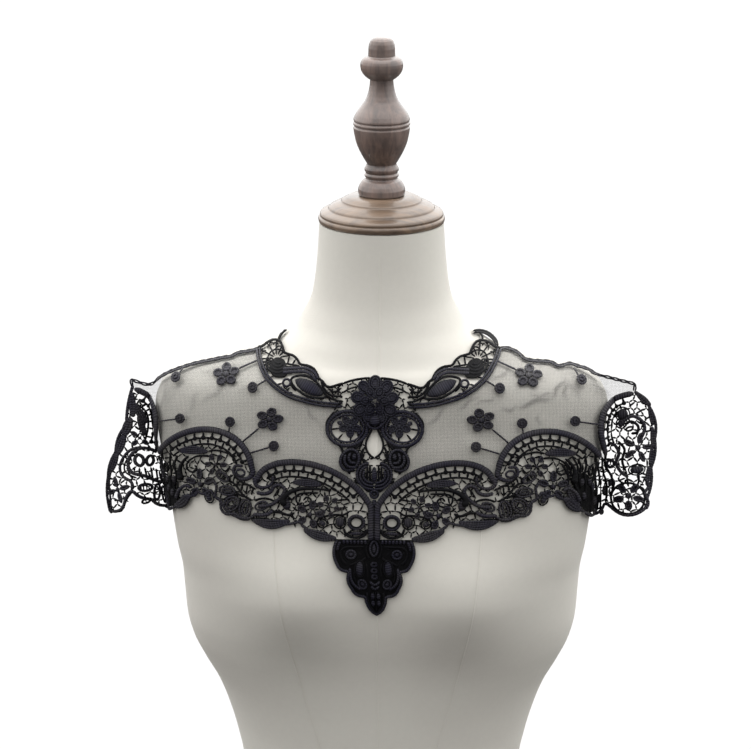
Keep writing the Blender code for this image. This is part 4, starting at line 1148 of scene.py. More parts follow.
CAP_MOTIFS: dict[Side, tuple[Motif, ...]] = {
    Side.RIGHT: (
        Ring(207.8, 27, 12.8, 9.6, 80, 1, 2.9, form=Form.PETAL),
        Ring(199.6, 26.8, 11.6, 8.2, 100, 1, 2.7, form=Form.PETAL),
        Cord(((193.5, 34), (200, 37), (207.6, 37.2), (214.6, 30.6), (216.2, 22), (212.4, 15.8),
              (204, 13.4), (196, 9.4), (189, 7.6)), 3),
        Cord(((205.4, 38.6), (213.6, 36.4), (220.4, 29.6), (224, 21.6), (222.2, 13.8), (214, 8.2),
              (212.6, 1.4)), 2.6),
        Cord(((209.4, 11.2), (219, 16.6), (219.4, 24), (214, 32.6)), 1.6),
        Bars((((213.6, 18.6), (209.8, 21.6)), ((207.6, 13.8), (207.6, 20.6)), ((202, 12.4), (203.6, 21)),
              ((197.4, 10), (198.8, 21)), ((193.6, 9), (194.6, 19.6)), ((222.6, 24), (218.6, 22)),
              ((220, 30), (216.6, 27.4)), ((222, 15), (218.6, 17.4)), ((214, 8.4), (212.6, 13.4))), 1.7),
        Leaf((211.6, 77), (200.6, 59.6), 6.6, 3, bend=1), Leaf((208.4, 66), (203, 48.6), 5.6, 3),
        Blossom(207.4, 46.4, 4, 5.6, 6.8, 4.2, 40, 1.8, form=Form.PETAL),
        Ring(204.6, 76.6, 6.6, 5, 30, 1, 1.7),
        Blossom(226.6, 0.6, 4, 7.2, 10.6, 4.6, 72, 2.2, form=Form.PETAL, hub=4.4),
        Cord(((212.6, 0.4), (217.4, -6.8), (220.8, -14.4), (224.2, -18.2), (231.8, -18.2),
              (234.6, -15.4)), 1.9),
        Cord(((234.4, -19), (234.8, -8), (236, 6), (233.6, 17.6)), 2.6),
        Pad(234.4, -18.6, 4.4, 4.4, 0, Form.OVAL, 2.2),
        Bars((((219.6, -5.6), (213.6, -1.6)), ((226.6, -8.6), (231.6, -9.6)), ((224.6, 6), (219.6, 9.6)),
              ((216.6, -9.6), (222, -4.6))), 1.6),
        Ring(203.3, 3.2, 12.6, 8.4, -4, 1, 2.4, 2),
        Ring(194.4, -1, 17, 6.8, 96, 1, 2.2, 2),
        Ring(188.2, -3, 17, 6, 80, 1, 2.2, 2),
        Ring(202.8, -8.6, 8.6, 5.4, -24, 1, 1.9, 1),
        Ground(((177, 8), (181, 12), (184, 4), (184, -11), (177, -12), (174, -8))),
        Ring(184.6, 17.4, 10.4, 6, 80, 1, 2, 1),
        Cord(((191, 31), (188.6, 24), (189.8, 14), (186, 4), (186.4, -10)), 2.2),
        Cord(((187.4, 28), (185, 23), (180.4, 12), (180.4, 2), (181.4, -12)), 2.1),
        Cord(((183.4, 12), (183.2, 4), (178, -3), (177.6, -12)), 2.1),
        Leaf((182.6, -1), (180, -13.6), 6, 3),
        Pad(184.2, -3, 8, 4, 84), Pad(178, 4.4, 7, 3.6, 96), Pad(190.4, 12, 6, 3.6, 88),
        Leaf((213.8, 86), (212.6, 64.5), 6, 2), Leaf((214.6, 64), (220.4, 47.5), 8.6, 3),
        Leaf((219.8, 49), (226.6, 31.5), 8.2, 3), Leaf((226.6, 33), (234.4, 15.5), 7.4, 3),
    ),
    Side.LEFT: (
        Pad(208.6, 70.2, 9.4, 9.4, 0, Form.OVAL, 2.6, ringed=True),
        Pad(208, 62.6, 7, 6, 60, Form.OVAL, 2.4, ringed=True),
        Cord(((206.4, 58.6), (210.6, 65), (217, 68.6), (224.2, 65), (227, 58.6), (224.6, 50.4)), 3),
        Cord(((210.6, 61.4), (216, 64), (221.4, 60.4), (221.2, 55), (216, 53.4)), 2.4),
        Ring(214.6, 57.6, 7.6, 5, 20, 1, 1.8),
        Blossom(221.6, 41.4, 5, 8.4, 10.6, 4.8, 78, 2.3, form=Form.PETAL, hub=4.6),
        Pad(221.2, 22.4, 11, 6.6, 8, Form.OVAL, 2.4, ringed=True),
        Blossom(214.8, -0.6, 5, 8.2, 9.6, 5.8, 128, 2.2, form=Form.PETAL, hub=4.6),
        Cord(arc((214.4, -2.6), 13.4, range(0, 360, 30)), 2, closed=True),
        Ring(199.8, 27.2, 8.8, 8.8, 0, 1, 2.6),
        Cord(((196.6, 46), (203.4, 43), (206.6, 36), (204.6, 28), (208.6, 20.4), (214.4, 16)), 2.8),
        Cord(((205.4, 47), (211, 40), (209.4, 30), (212.2, 21)), 2.2),
        Cord(((193, 38), (194.6, 27), (200.4, 17), (202.8, 8), (200, -2.4)), 2.1),
        Cord(((189.6, 34), (191, 24), (195.8, 13.6), (197.4, 3), (196.4, -7.4)), 2.1),
        Cord(((185.6, 30), (187.2, 19), (190.6, 9), (191.6, -2), (191.4, -14.2)), 2),
        Cord(((182.6, 22), (184.2, 12), (186.2, 2), (186.6, -9), (185.6, -15.6)), 2.1),
        Cord(((179.4, 14), (181, 5), (181.6, -4), (180.6, -14)), 2),
        Bars((((190.6, 28), (194.6, 30)), ((190.4, 20), (195.6, 21.6)), ((192.6, 12), (198.4, 14)),
              ((186.6, 24), (190.4, 25)), ((187.8, 14.6), (192, 16)), ((195.8, 6), (200.6, 8)),
              ((184.4, 16), (187.4, 18)), ((191.6, 3), (197, 4))), 1.6),
        Ground(((176, 4), (181, 8), (186, 2), (190, -6), (188, -14), (178, -13), (174, -8))),
        Pad(195.2, 3.6, 8, 4.2, 98), Pad(189.6, -3.6, 8, 4.2, 94), Pad(184.2, -4.4, 8, 4, 92),
        Pad(200.4, 11, 7, 4.4, 70), Pad(185.4, -14.6, 5.6, 5, 80), Pad(192.8, -15.2, 5.6, 5, 80),
        Cord(((227.4, 16), (230.6, 8), (227.6, 2), (230.8, -6), (228.8, -12.4)), 2.8),
        Cord(((212.4, 21.6), (213.6, 14.6), (214.6, 7.4)), 1.8),
        Cord(((222.6, 19), (222.6, 12), (219.6, 5)), 1.8),
        Leaf((220, 88.4), (232.2, 77.6), 5.8, 3), Leaf((230.6, 76.6), (234.2, 60.4), 3.8, 2),
        Leaf((233.6, 60), (234.6, 41), 4.2, 2), Leaf((233.8, 42), (232.2, 25.4), 4.2, 2),
        Leaf((231.2, 25.6), (229.6, 8.4), 4.6, 2),
        Bars((((224.6, 16), (229, 15.6)), ((223.6, 10), (227.6, 9)), ((206, 12), (212, 15)),
              ((203.6, 4), (201, 9)), ((226.8, 55), (233, 56.6)), ((227, 66), (231.6, 68)),
              ((213.6, 76.6), (219, 81)), ((219.6, 70.6), (226.4, 75))), 1.7),
    ),
}
NECK_RIM: tuple[Point, ...] = (
    (104, 124.6), (99, 126), (95.4, 128.8), (91.4, 130.8), (87.4, 131.4), (83.3, 130.2), (80.6, 126.8),
    (79, 122.8), (77.6, 119.9), (74, 118.6), (69.8, 117.2), (66.2, 114), (63.4, 109.8), (57.2, 108.6),
    (52.4, 106.2), (49.2, 102), (47.2, 98), (44, 95.4), (40.8, 91.6), (36.8, 91), (31.6, 92.6),
    (26, 94.2),
)
NECK_MOTIFS: tuple[Motif, ...] = (
    Pad(55.2, 90.8, 27, 11, 26.7, Form.PETAL, 2.4),
    Cord(((69.6, 98.6), (62.6, 100.4), (55, 99), (47.6, 93.4), (41, 83.4), (48.4, 82), (57, 83.8),
          (65.8, 89.4), (70.2, 95)), 2.1, closed=True),
    Ground(((74.6, 101.6), (77, 112.6), (84.6, 116), (90, 109.6), (87.6, 102), (81, 99.4)), 1.3),
    *(Cord(arc((82.6, 113.4), reach, range(-150, 20, 24)), 1.9) for reach in (3, 5.6, 8.2, 10.8)),
    Cord(((78.6, 105.6), (68.4, 106.2), (58.4, 106.2), (51.2, 102.6), (47.4, 96.6)), 2.6),
    Cord(((78.4, 102.8), (68.4, 103.4), (59, 103.4), (53, 100.4), (49.4, 95.6)), 2.6),
    Cord(((78.4, 107), (73, 107.6), (64, 107.2)), 1.9),
    Ring(74.2, 94.6, 8.4, 7.8, 0, 1, 2),
    Cord(arc((85, 115.6), 7.6, range(-20, 141, 20)), 1.4),
    Cord(arc((82.6, 121.4), 4.4, range(10, 190, 30)), 1.5),
    Cord(((64, 108.4), (70, 109.4), (76.6, 110.6)), 1.8),
    Cord(((45.4, 95.6), (41.6, 88.4), (36, 84), (27, 83.4)), 1.9),
    Cord(((40.6, 84.2), (33.6, 80.2), (26.4, 79.4)), 1.7),
    Cord(((28, 90.4), (33.6, 87.2), (39.6, 89.6)), 1.7),
    Bars((((71.6, 91), (75.6, 86.4)), ((78, 94.4), (83.4, 93)), ((84.6, 100.6), (89.6, 99)),
          ((90.6, 106.4), (96.4, 106.4)), ((90.8, 111.6), (99, 112.6)), ((70.8, 92.8), (66.6, 88)),
          ((70.6, 109.4), (67.8, 114.6)), ((74.8, 110.4), (73.4, 117.6)),
          ((30.6, 91.6), (31, 83.6)), ((36, 90.6), (35, 84))), 1.6),
)
NECK_TAILS: dict[Side, tuple[Motif, ...]] = {
    Side.RIGHT: (Cord(((84, 130.6), (83, 134.6), (81, 137.6), (77.9, 140.2)), 2),
                 Cord(((84.9, 130.8), (84, 135), (81.8, 138)), 1.6)),
    Side.LEFT: (Cord(((80.6, 138.6), (85.6, 139.6), (91.6, 138.4), (96.4, 135.2), (99.8, 130.8),
                      (100.6, 126.4)), 1.9, strands=2, gap=1.9),
                Cord(((86, 138.4), (88, 135.4), (88.4, 131.4)), 1.8)),
}
MEDALLION_MOTIFS: tuple[Motif, ...] = (
    Ring(22.9, 57, 36.6, 32, -6, 1, 3.2),
    Ring(22.9, 57, 29.6, 25, -6, 1, 2),
    Blossom(20.4, 59, 5, 5.8, 8.6, 6.8, 55, 2, hub=4.4),
    Pad(29, 61.4, 5, 4, 30), Pad(13, 53, 4, 3.4, 60),
    Bars((((28.6, 64.6), (31.6, 68.2)), ((26.6, 52.4), (30.6, 47.6)), ((14.6, 51.6), (12, 48.4)),
          ((19.6, 51), (20.4, 46)), ((29.8, 57), (36, 56)), ((12.6, 60.4), (8.6, 60))), 1.6),
    Cord(((1, 60), (4.2, 52.6), (7, 45.6), (6.8, 39.6), (4, 35.2), (0, 32.2)), 1.9),
    Cord(((3.4, 60), (8.6, 50), (13, 43), (16.6, 38.4)), 2.2),
    Cord(((6.6, 56), (10.6, 47.8), (16.6, 41.6), (22.6, 40.6)), 2),
    Cord(((7.8, 42), (10.4, 36.4), (9.4, 30.4), (4.6, 27)), 2),
    Ring(20.6, 30.8, 20.6, 17.4, -62, 1, 2.6),
    Ground(((13.6, 37.4), (20, 39), (26, 36.4), (27.6, 30), (24, 23.6), (18, 22.4),
            (14.2, 27))),
    Cord(((15.6, 25), (21.4, 25.2), (24.8, 29.6), (24, 35.4)), 2.5, lift=1.2),
    Cord(((15.2, 28.6), (19.6, 28.8), (21.4, 32.4), (20, 36.8)), 2.5, lift=1.2),
    Pad(16.8, 33.6, 5.4, 4, 100, Form.OVAL, 2.2),
    Cord(((13.4, 38.6), (12.6, 31.4), (15, 23.6)), 1.9),
    Cord(((10.6, 38.6), (11.6, 30.4), (11, 25.6)), 1.6),
    Cord(((4.4, 28.6), (10.6, 26.4), (14.2, 21), (13.4, 13.8), (8, 8), (0, 6.4)), 2.5),
    Cord(((5.4, 26), (9.6, 23.8), (11.8, 19.8), (11.2, 14.8), (7, 10.4), (0, 9)), 2.5),
    Cord(((8, 22.4), (9.2, 19), (8.6, 15.6), (5.6, 12.8), (0, 11.6)), 2.5),
    Bars((((3.6, 27), (3.6, 12.6)), ((5.8, 25.6), (6, 13.6)), ((3.4, 20.6), (7, 20.6))), 1.6),
    Cord(((1, 4.6), (5.6, 5.2), (11.2, 10.6), (17, 13.6)), 1.9),
    Ground(((0, 6), (8, 7), (12, 12), (15, 22), (13, 24), (9, 16), (2, 9))),
    Cord(((27, 93.9), (20, 96.4), (12, 98), (4, 98.8)), 2),
    Cord(((27, 86.4), (21.6, 89.6), (15, 91.6)), 1.6),
    Cord(((27, 79), (31, 76.6), (34, 72)), 2.2),
)
MEDALLION_MIDDLE: tuple[Motif, ...] = (
    Pad(0, 18.6, 13.5, 4.8, 90, Form.OVAL, 2.4),
    Ring(0, 2.4, 8.4, 8.4, 0, 1, 2.3, 0, True),
    Pad(0, -5, 6, 4, 90),
)
DROP_MOTIFS: tuple[Motif, ...] = (
    *(Cord(((rib, -36), (rib - 0.2, -38), (rib - 0.4, -40.2)), 2.6)
      for rib in (7.4, 10.4, 13.4, 16.4, 19.4, 22.4, 25.4)),
    Cord(((28.2, -37.6), (30.2, -41.6), (30.8, -46)), 2.6),
    Cord(((7.6, -42), (16, -42.2), (24, -42.6), (28, -46.6), (27, -53), (22.4, -57.4)), 2),
    Ring(19.4, -48.6, 9.6, 9, 0, 1, 2.2, 0, True),
    Cord(((6.6, -50.6), (9.4, -53.4), (14.4, -55.2), (20.6, -58.2)), 1.9),
    Pad(12.2, -60.6, 12.6, 6.6, 94, Form.OVAL, 2.8), Ring(12.2, -60.6, 15.6, 9.6, 94, 1, 1.6),
    Cord(((20.4, -60), (20, -69), (17, -75), (11.4, -78.6)), 2.6),
    Ring(10.6, -73.8, 9.8, 8.2, 60, 1, 2, 0, True),
    Cord(((0.4, -33.8), (4.6, -37.8), (6.4, -43), (5.6, -49), (3, -53)), 2),
    Cord(((17, -63), (17.2, -69), (15.4, -73)), 1.7),
    Cord(((6.6, -56), (5.8, -63), (6.6, -69.6)), 1.7),
    Bars((((25.6, -44.6), (24.4, -50)), ((9.6, -43.4), (13.6, -44.6)), ((10, -50), (13, -46.6))), 1.6),
    Cord(((7.2, -80.6), (6.8, -88), (4, -94.6), (0.4, -99)), 2.2),
    Cord(((1.6, -80), (3.6, -84.6), (3.6, -89), (1.4, -94)), 1.6, lift=0.9),
    Pad(2.5, -84, 5.6, 3.8, 90, Form.OVAL, 2.6), Pad(2.5, -90, 5.2, 3.6, 90, Form.OVAL, 2.6),
)
DROP_MIDDLE: tuple[Motif, ...] = (
    Ring(0, -43.4, 15, 8.6, 90, 1, 2, 2, False, Form.PETAL), Pad(0, -43.8, 8.6, 3.6, 90),
    *(Ring(0, -57 - 5.2 * place, 5, 6.6, 90, 1, 1.95) for place in range(3)),
    Cord(((-4.4, -71.4), (0, -74.4), (4.4, -71.4)), 2.5),
    Cord(((-3.6, -75.2), (0, -78), (3.6, -75.2)), 2.5),
    Cord(((0, -80), (0.2, -90), (0, -98)), 1.3, lift=1.3),
)


class Whorl(NamedTuple):
    """One ring of the rosette's petals."""

    petals: int
    turn: float
    reach: float
    length: float
    width: float
    cord: float
    rings: int
    lift: float


ROSETTE_CENTRE, ROSETTE_KNOT = (0.0, 80.0), (0.0, 63.6)
ROSETTE_TAB = ((-6.4, 62.0), (-4.4, 58.6), (0, 57.2), (4.4, 58.6), (6.4, 62.0))
ROSETTE = (
    Whorl(9, 90, 14.2, 12.6, 10.6, 1.7, 2, 1.4), Whorl(6, 60, 7.8, 9.4, 7.6, 1.6, 2, 2.8),
    Whorl(5, 90, 3.0, 3.6, 3.2, 1.0, 1, 4.6),
)


class Sprig(NamedTuple):
    """A flower or dot on the net and the point its stem runs to."""

    across: float
    up: float
    root_across: float
    root_up: float


FLOWERS = (Sprig(127, 101.5, 99.6, 114), Sprig(88.2, 64.8, 111, 45.6))
DOTS = (
    Sprig(171, 98, 165.6, 108.4), Sprig(102.8, 90.6, 90.4, 97.6), Sprig(165, 64.5, 187, 61.5),
    Sprig(121.4, 62.5, 122.6, 53.6), Sprig(84, 42.5, 104.6, 36.6),
)


class Pucker(NamedTuple):
    """A soft crease in the net between two points of the chart."""

    start: Point
    end: Point
    height: float
    width: float


PUCKERS = {
    Side.RIGHT: (
        Pucker((112, 110), (150, 104), 0.5, 1.6), Pucker((128, 92), (146, 78), 0.6, 1.5),
        Pucker((98, 92), (116, 88), 0.4, 1.4), Pucker((176, 100), (186, 70), 0.6, 2.0),
        Pucker((60, 78), (48, 62), 0.4, 1.6), Pucker((150, 88), (158, 70), 0.4, 2.0),
    ),
    Side.LEFT: (
        Pucker((158, 100), (146, 84), 0.9, 1.6), Pucker((146, 84), (118, 76), 0.9, 1.8),
        Pucker((118, 76), (104, 72), 0.6, 1.5), Pucker((157, 99), (158, 82), 0.8, 1.5),
        Pucker((160, 99), (170, 84), 0.7, 1.5), Pucker((148, 86), (128, 86), 0.6, 1.4),
        Pucker((112, 108), (96, 96), 0.6, 1.4), Pucker((84, 84), (70, 74), 0.6, 1.5),
        Pucker((178, 100), (196, 84), 0.8, 2.0), Pucker((100, 84), (84, 78), 0.5, 1.4),
        Pucker((60, 76), (44, 60), 0.5, 1.6), Pucker((134, 70), (136, 60), 0.5, 1.5),
    ),
}


# ---------------------------------------------------------------- finishes
def material_for(name: str) -> tuple[Material, NodeTree, Node]:
    """A new material with its node tree and its Principled shader."""
    made = bpy.data.materials.new(name)
    made.use_nodes = True
    return made, made.node_tree, made.node_tree.nodes["Principled BSDF"]


def feed(tree: NodeTree, made: Node, inputs: dict) -> None:
    """Give a node's inputs, by name or place, a value or the output socket that feeds them."""
    for name, value in inputs.items():
        if isinstance(value, NodeSocket):
            tree.links.new(value, made.inputs[name])
        else:
            made.inputs[name].default_value = value


def node(tree: NodeTree, kind: str, inputs: dict | None = None,
         **settings: object) -> Node:
    """Add a node.

    Args:
        tree: the tree to add it to.
        kind: the node's class, without its ShaderNode prefix.
        inputs: for each input by name or place, a value or the output socket that feeds it.
        settings: the node's own properties.

    Returns:
        The new node.
    """
    made = tree.nodes.new("ShaderNode" + kind)
    for name, value in settings.items():
        setattr(made, name, value)
    feed(tree, made, inputs or {})
    return made


def math_node(tree: NodeTree, operation: str, first: object, second: object = 0.0,
              clamp: bool = False) -> NodeSocket:
    """The output of a Math node on two values or sockets."""
    made = node(tree, "Math", {0: first, 1: second}, operation=operation, use_clamp=clamp)
    return made.outputs[0]


def scaled(tree: NodeTree, value: object, times: object, plus: object,
           clamp: bool = False) -> NodeSocket:
    """A value or socket times one and plus another."""
    return math_node(tree, "ADD", math_node(tree, "MULTIPLY", value, times), plus, clamp)


def mixed(tree: NodeTree, share: object, first: object, second: object) -> NodeSocket:
    """A colour between two colours or sockets."""
    made = node(tree, "Mix", {0: share, 6: first, 7: second}, data_type="RGBA")
    return made.outputs[2]


def group_of(name: str, inputs: Sequence[tuple[str, str, float]],
             outputs: Sequence[str]) -> tuple[NodeTree, Node, Node]:
    """A new shader node group with its two end nodes.

    Args:
        name: the group's name.
        inputs: for each input its name, its kind and its default.
        outputs: the names of its outputs, all plain values.

    Returns:
        The group, the node that gives its inputs and the node that takes its outputs.
    """
    tree = bpy.data.node_groups.new(name, "ShaderNodeTree")
    for label, kind, value in inputs:
        socket = tree.interface.new_socket(label, in_out="INPUT", socket_type="NodeSocket" + kind)
        if kind == "Float":
            socket.default_value = value
    for label in outputs:
        tree.interface.new_socket(label, in_out="OUTPUT", socket_type="NodeSocketFloat")
    return tree, tree.nodes.new("NodeGroupInput"), tree.nodes.new("NodeGroupOutput")


def placed(tree: NodeTree, group: NodeTree, inputs: dict[str, object]) -> Node:
    """Place a group in a material with its values."""
    return node(tree, "Group", inputs, node_tree=group)


@dataclass
class SharedEffects:
    """The node groups that several finishes use."""

    drift: NodeTree = None
    wrap: NodeTree = None
    weave: NodeTree = None

    def build(self) -> "SharedEffects":
        """Make the groups."""
        self.drift = self.built_drift()
        self.wrap = self.built_wrap()
        self.weave = self.built_weave()
        return self

    @staticmethod
    def built_drift() -> NodeTree:
        """Slow uneven change over a surface, as a mask."""
        tree, given, out = group_of("tone_drift", [("Vector", "Vector", 0), ("Scale", "Float", 40),
                                                   ("Contrast", "Float", 1.6)], ["Mask"])
        noise = node(tree, "TexNoise", {"Vector": given.outputs["Vector"],
                                        "Scale": given.outputs["Scale"], "Detail": 3.0})
        centred = math_node(tree, "SUBTRACT", noise.outputs["Fac"], 0.5)
        feed(tree, out, {"Mask": scaled(tree, centred, given.outputs["Contrast"], 0.5, clamp=True)})
        return tree

    @staticmethod
    def built_wrap() -> NodeTree:
        """The slanted wraps of thread round a cord or over a pad, from its stitch coordinates."""
        tree, given, out = group_of("thread_wrap", [("Stitch", "Vector", 0), ("Pitch", "Float", 1),
                                                    ("Slant", "Float", 1)], ["Height", "Crown"])
        parts = node(tree, "SeparateXYZ", {0: given.outputs["Stitch"]})
        along = math_node(tree, "DIVIDE", parts.outputs[0], given.outputs["Pitch"])
        slanted = math_node(tree, "MULTIPLY", parts.outputs[1], given.outputs["Slant"])
        uneven = node(tree, "TexNoise", {"Vector": given.outputs["Stitch"], "Scale": 0.6})
        phase = math_node(tree, "ADD", math_node(tree, "ADD", along, slanted),
                          math_node(tree, "MULTIPLY", uneven.outputs["Fac"], 0.7))
        wave = math_node(tree, "SINE", math_node(tree, "MULTIPLY", phase, 2 * math.pi))
        # Both outputs feed the thread finish's painted highlight; Height also feeds its bump.
        feed(tree, out, {"Height": scaled(tree, wave, 0.5, 0.5), "Crown": parts.outputs[2]})
        return tree

    @staticmethod
    def built_weave() -> NodeTree:
        """A fine plain weave on two coordinates."""
        tree, given, out = group_of("plain_weave", [("Vector", "Vector", 0), ("Pitch", "Float", 1)],
                                    ["Height"])
        turns = math_node(tree, "DIVIDE", 2 * math.pi, given.outputs["Pitch"])
        spread = node(tree, "VectorMath", {0: given.outputs["Vector"], "Scale": turns},
                      operation="SCALE")
        parts = node(tree, "SeparateXYZ", {0: spread.outputs[0]})
        warp = math_node(tree, "SINE", math_node(tree, "ADD", parts.outputs[0], parts.outputs[1]))
        weft = math_node(tree, "SINE", math_node(tree, "ADD", parts.outputs[2],
                                                 math_node(tree, "MULTIPLY", parts.outputs[1], 0.5)))
        crossed = math_node(tree, "MULTIPLY", warp, weft)
        feed(tree, out, {"Height": scaled(tree, crossed, 0.5, 0.5)})
        return tree


Colour = tuple[float, float, float, float]


@dataclass(frozen=True)
class ThreadFinish:
    """Black embroidery thread: near-black in its valleys as painted shade, a painted highlight on its
    crests, and the cast that drifts over that highlight.
    """

    name: str
    valley: Colour
    crest: Colour
    cast: Colour
    roughness: float
    pitch: float
    slant: float
    relief: float
    shine: float

    def build(self, effects: SharedEffects) -> Material:
        """Make the material from the piece's stitch coordinates."""
        made, tree, shader = material_for(self.name)
        stitch = node(tree, "Attribute", attribute_name="stitch")
        place = node(tree, "TexCoord")
        wrap = placed(tree, effects.wrap, {"Stitch": stitch.outputs["Vector"], "Pitch": self.pitch,
                                           "Slant": self.slant})
        drift = placed(tree, effects.drift, {"Vector": place.outputs["Object"], "Scale": 45.0,
                                             "Contrast": 2.6})
        # Painted highlight: the crest colour, with the navy cast mixed in, lightens each wrap and the
        # crown of each cord and pad. The valley colour left in the grooves and at the cords' edges is
        # painted shade.
        crest = mixed(tree, drift.outputs["Mask"], self.crest, self.cast)
        strand = scaled(tree, wrap.outputs["Height"], 0.7, 0.3)
        lit = math_node(tree, "MULTIPLY", strand, math_node(tree, "POWER", wrap.outputs["Crown"], 3.0))
        colour = mixed(tree, lit, self.valley, crest)
        bump = node(tree, "Bump", {"Strength": 0.7, "Distance": self.relief * MM,
                                   "Height": wrap.outputs["Height"]})
        feed(tree, shader, {"Base Color": colour, "Normal": bump.outputs["Normal"],
                            "Roughness": self.roughness, "Specular IOR Level": self.shine})
        return made


@dataclass(frozen=True)
class TulleFinish:
    """Fine black net, open between its threads."""

    name: str
    thread: Colour
    cell: float
    thread_share: float
    open_alpha: float
    thread_alpha: float
    faded: Colour = (0.05, 0.05, 0.055, 1)

    def build(self, effects: SharedEffects) -> Material:
        """Make the material from the flat cloth coordinates."""
        made, tree, shader = material_for(self.name)
        cloth = node(tree, "Attribute", attribute_name="cloth")
        parts = node(tree, "SeparateXYZ", {0: cloth.outputs["Vector"]})
        flat = node(tree, "CombineXYZ", {0: parts.outputs[0], 1: parts.outputs[1]})
        net = node(tree, "TexVoronoi", {"Vector": flat.outputs[0], "Scale": 1 / self.cell,
                                        "Randomness": 0.35}, feature="DISTANCE_TO_EDGE",
                   voronoi_dimensions="2D")
        threads = math_node(tree, "LESS_THAN", net.outputs["Distance"], self.thread_share)
        drift = placed(tree, effects.drift, {"Vector": cloth.outputs["Vector"], "Scale": 0.05,
                                             "Contrast": 1.2})
        weight = scaled(tree, drift.outputs["Mask"], 0.3, 0.85)
        alpha = scaled(tree, threads, self.thread_alpha - self.open_alpha, self.open_alpha)
        # Painted shade: the crease share from the cloth's third coordinate raises the net's alpha, so the
        # net is darker along its creases.
        crease_shaded_alpha = scaled(tree, alpha, weight, parts.outputs[2], clamp=True)
        tone = mixed(tree, drift.outputs["Mask"], self.thread, self.faded)
        feed(tree, shader, {"Base Color": tone, "Alpha": crease_shaded_alpha, "Roughness": 0.7,
                            "Specular IOR Level": 0.2})
        return made


@dataclass(frozen=True)
class CoverFinish:
    """The dress form's matt cream cover, a fine plain weave."""

    name: str
    light: Colour
    dull: Colour
    pitch: float
    relief: float

    def build(self, effects: SharedEffects) -> Material:
        """Make the material on the form's own coordinates."""
        made, tree, shader = material_for(self.name)
        place = node(tree, "TexCoord")
        weave = placed(tree, effects.weave, {"Vector": place.outputs["Object"],
                                             "Pitch": self.pitch * MM})
        clouds = placed(tree, effects.drift, {"Vector": place.outputs["Object"], "Scale": 9.0,
                                              "Contrast": 1.5})
        slubs = placed(tree, effects.drift, {"Vector": place.outputs["Object"], "Scale": 220.0,
                                             "Contrast": 1.0})
        tone = mixed(tree, clouds.outputs["Mask"], self.light, self.dull)
        shade = scaled(tree, slubs.outputs["Mask"], 0.05, 0.95)
        shaded = node(tree, "VectorMath", {0: tone, "Scale": shade}, operation="SCALE")
        bump = node(tree, "Bump", {"Strength": 0.35, "Distance": self.relief * MM,
                                   "Height": weave.outputs["Height"]})
        feed(tree, shader, {"Base Color": shaded.outputs[0], "Normal": bump.outputs["Normal"],
                            "Roughness": 0.85, "Specular IOR Level": 0.25, "Sheen Weight": 0.15})
        return made


@dataclass(frozen=True)
class WoodFinish:
    """Dark turned wood, waxed, with paler tan patches and a painted highlight along its sharp edges."""

    name: str
    dark: Colour
    warm: Colour
    worn: Colour
    grain: tuple[float, float, float]

    def build(self, effects: SharedEffects) -> Material:
        """Make the material with its grain stretched as the piece was cut."""
        made, tree, shader = material_for(self.name)
        place = node(tree, "TexCoord")
        stretched = node(tree, "Mapping", {"Vector": place.outputs["Object"], "Scale": self.grain})
        fibre = node(tree, "TexNoise", {"Vector": stretched.outputs[0], "Scale": 1.0, "Detail": 6.0,
                                        "Roughness": 0.65, "Distortion": 0.6})
        streaks = math_node(tree, "MULTIPLY", math_node(tree, "SUBTRACT", fibre.outputs["Fac"], 0.36),
                            3.4, clamp=True)
        clouds = placed(tree, effects.drift, {"Vector": place.outputs["Object"], "Scale": 22.0,
                                              "Contrast": 2.4})
        body = mixed(tree, streaks, self.dark, self.warm)
        # Painted highlight: sharp convex edges, found by pointiness, are mixed towards the pale colour;
        # the cloudy patches are the wood's own paler tone.
        edge = node(tree, "NewGeometry")
        sharp = math_node(tree, "MULTIPLY", math_node(
            tree, "SUBTRACT", edge.outputs["Pointiness"], 0.52), 9.0, clamp=True)
        patched = math_node(tree, "MULTIPLY", clouds.outputs["Mask"], 0.4)
        edge_highlight_and_patches = scaled(tree, sharp, 0.6, patched, clamp=True)
        bump = node(tree, "Bump", {"Strength": 0.3, "Distance": 0.25 * MM, "Height": streaks})
        feed(tree, shader, {"Base Color": mixed(tree, edge_highlight_and_patches, body, self.worn),
                            "Roughness": scaled(tree, streaks, 0.14, 0.3),
                            "Normal": bump.outputs["Normal"], "Coat Weight": 0.6,
                            "Coat Roughness": 0.14})
        return made


@dataclass(frozen=True)
class FloorFinish:
    """The studio's plain pale floor."""

    name: str
    colour: Colour
    glow: float

    def build(self, effects: SharedEffects) -> Material:
        """Make the material, with a faint unevenness."""
        made, tree, shader = material_for(self.name)
        place = node(tree, "TexCoord")
        drift = placed(tree, effects.drift, {"Vector": place.outputs["Object"], "Scale": 2.0,
                                             "Contrast": 0.6})
        dull = tuple(0.97 * value for value in self.colour[:3]) + (1.0,)
        tone = mixed(tree, drift.outputs["Mask"], self.colour, dull)
        ray = node(tree, "LightPath")
        glow = math_node(tree, "MULTIPLY", ray.outputs["Is Camera Ray"], self.glow)
        feed(tree, shader, {"Base Color": tone, "Roughness": 0.9, "Emission Color": (1, 1, 1, 1),
                            "Emission Strength": glow})
        return made


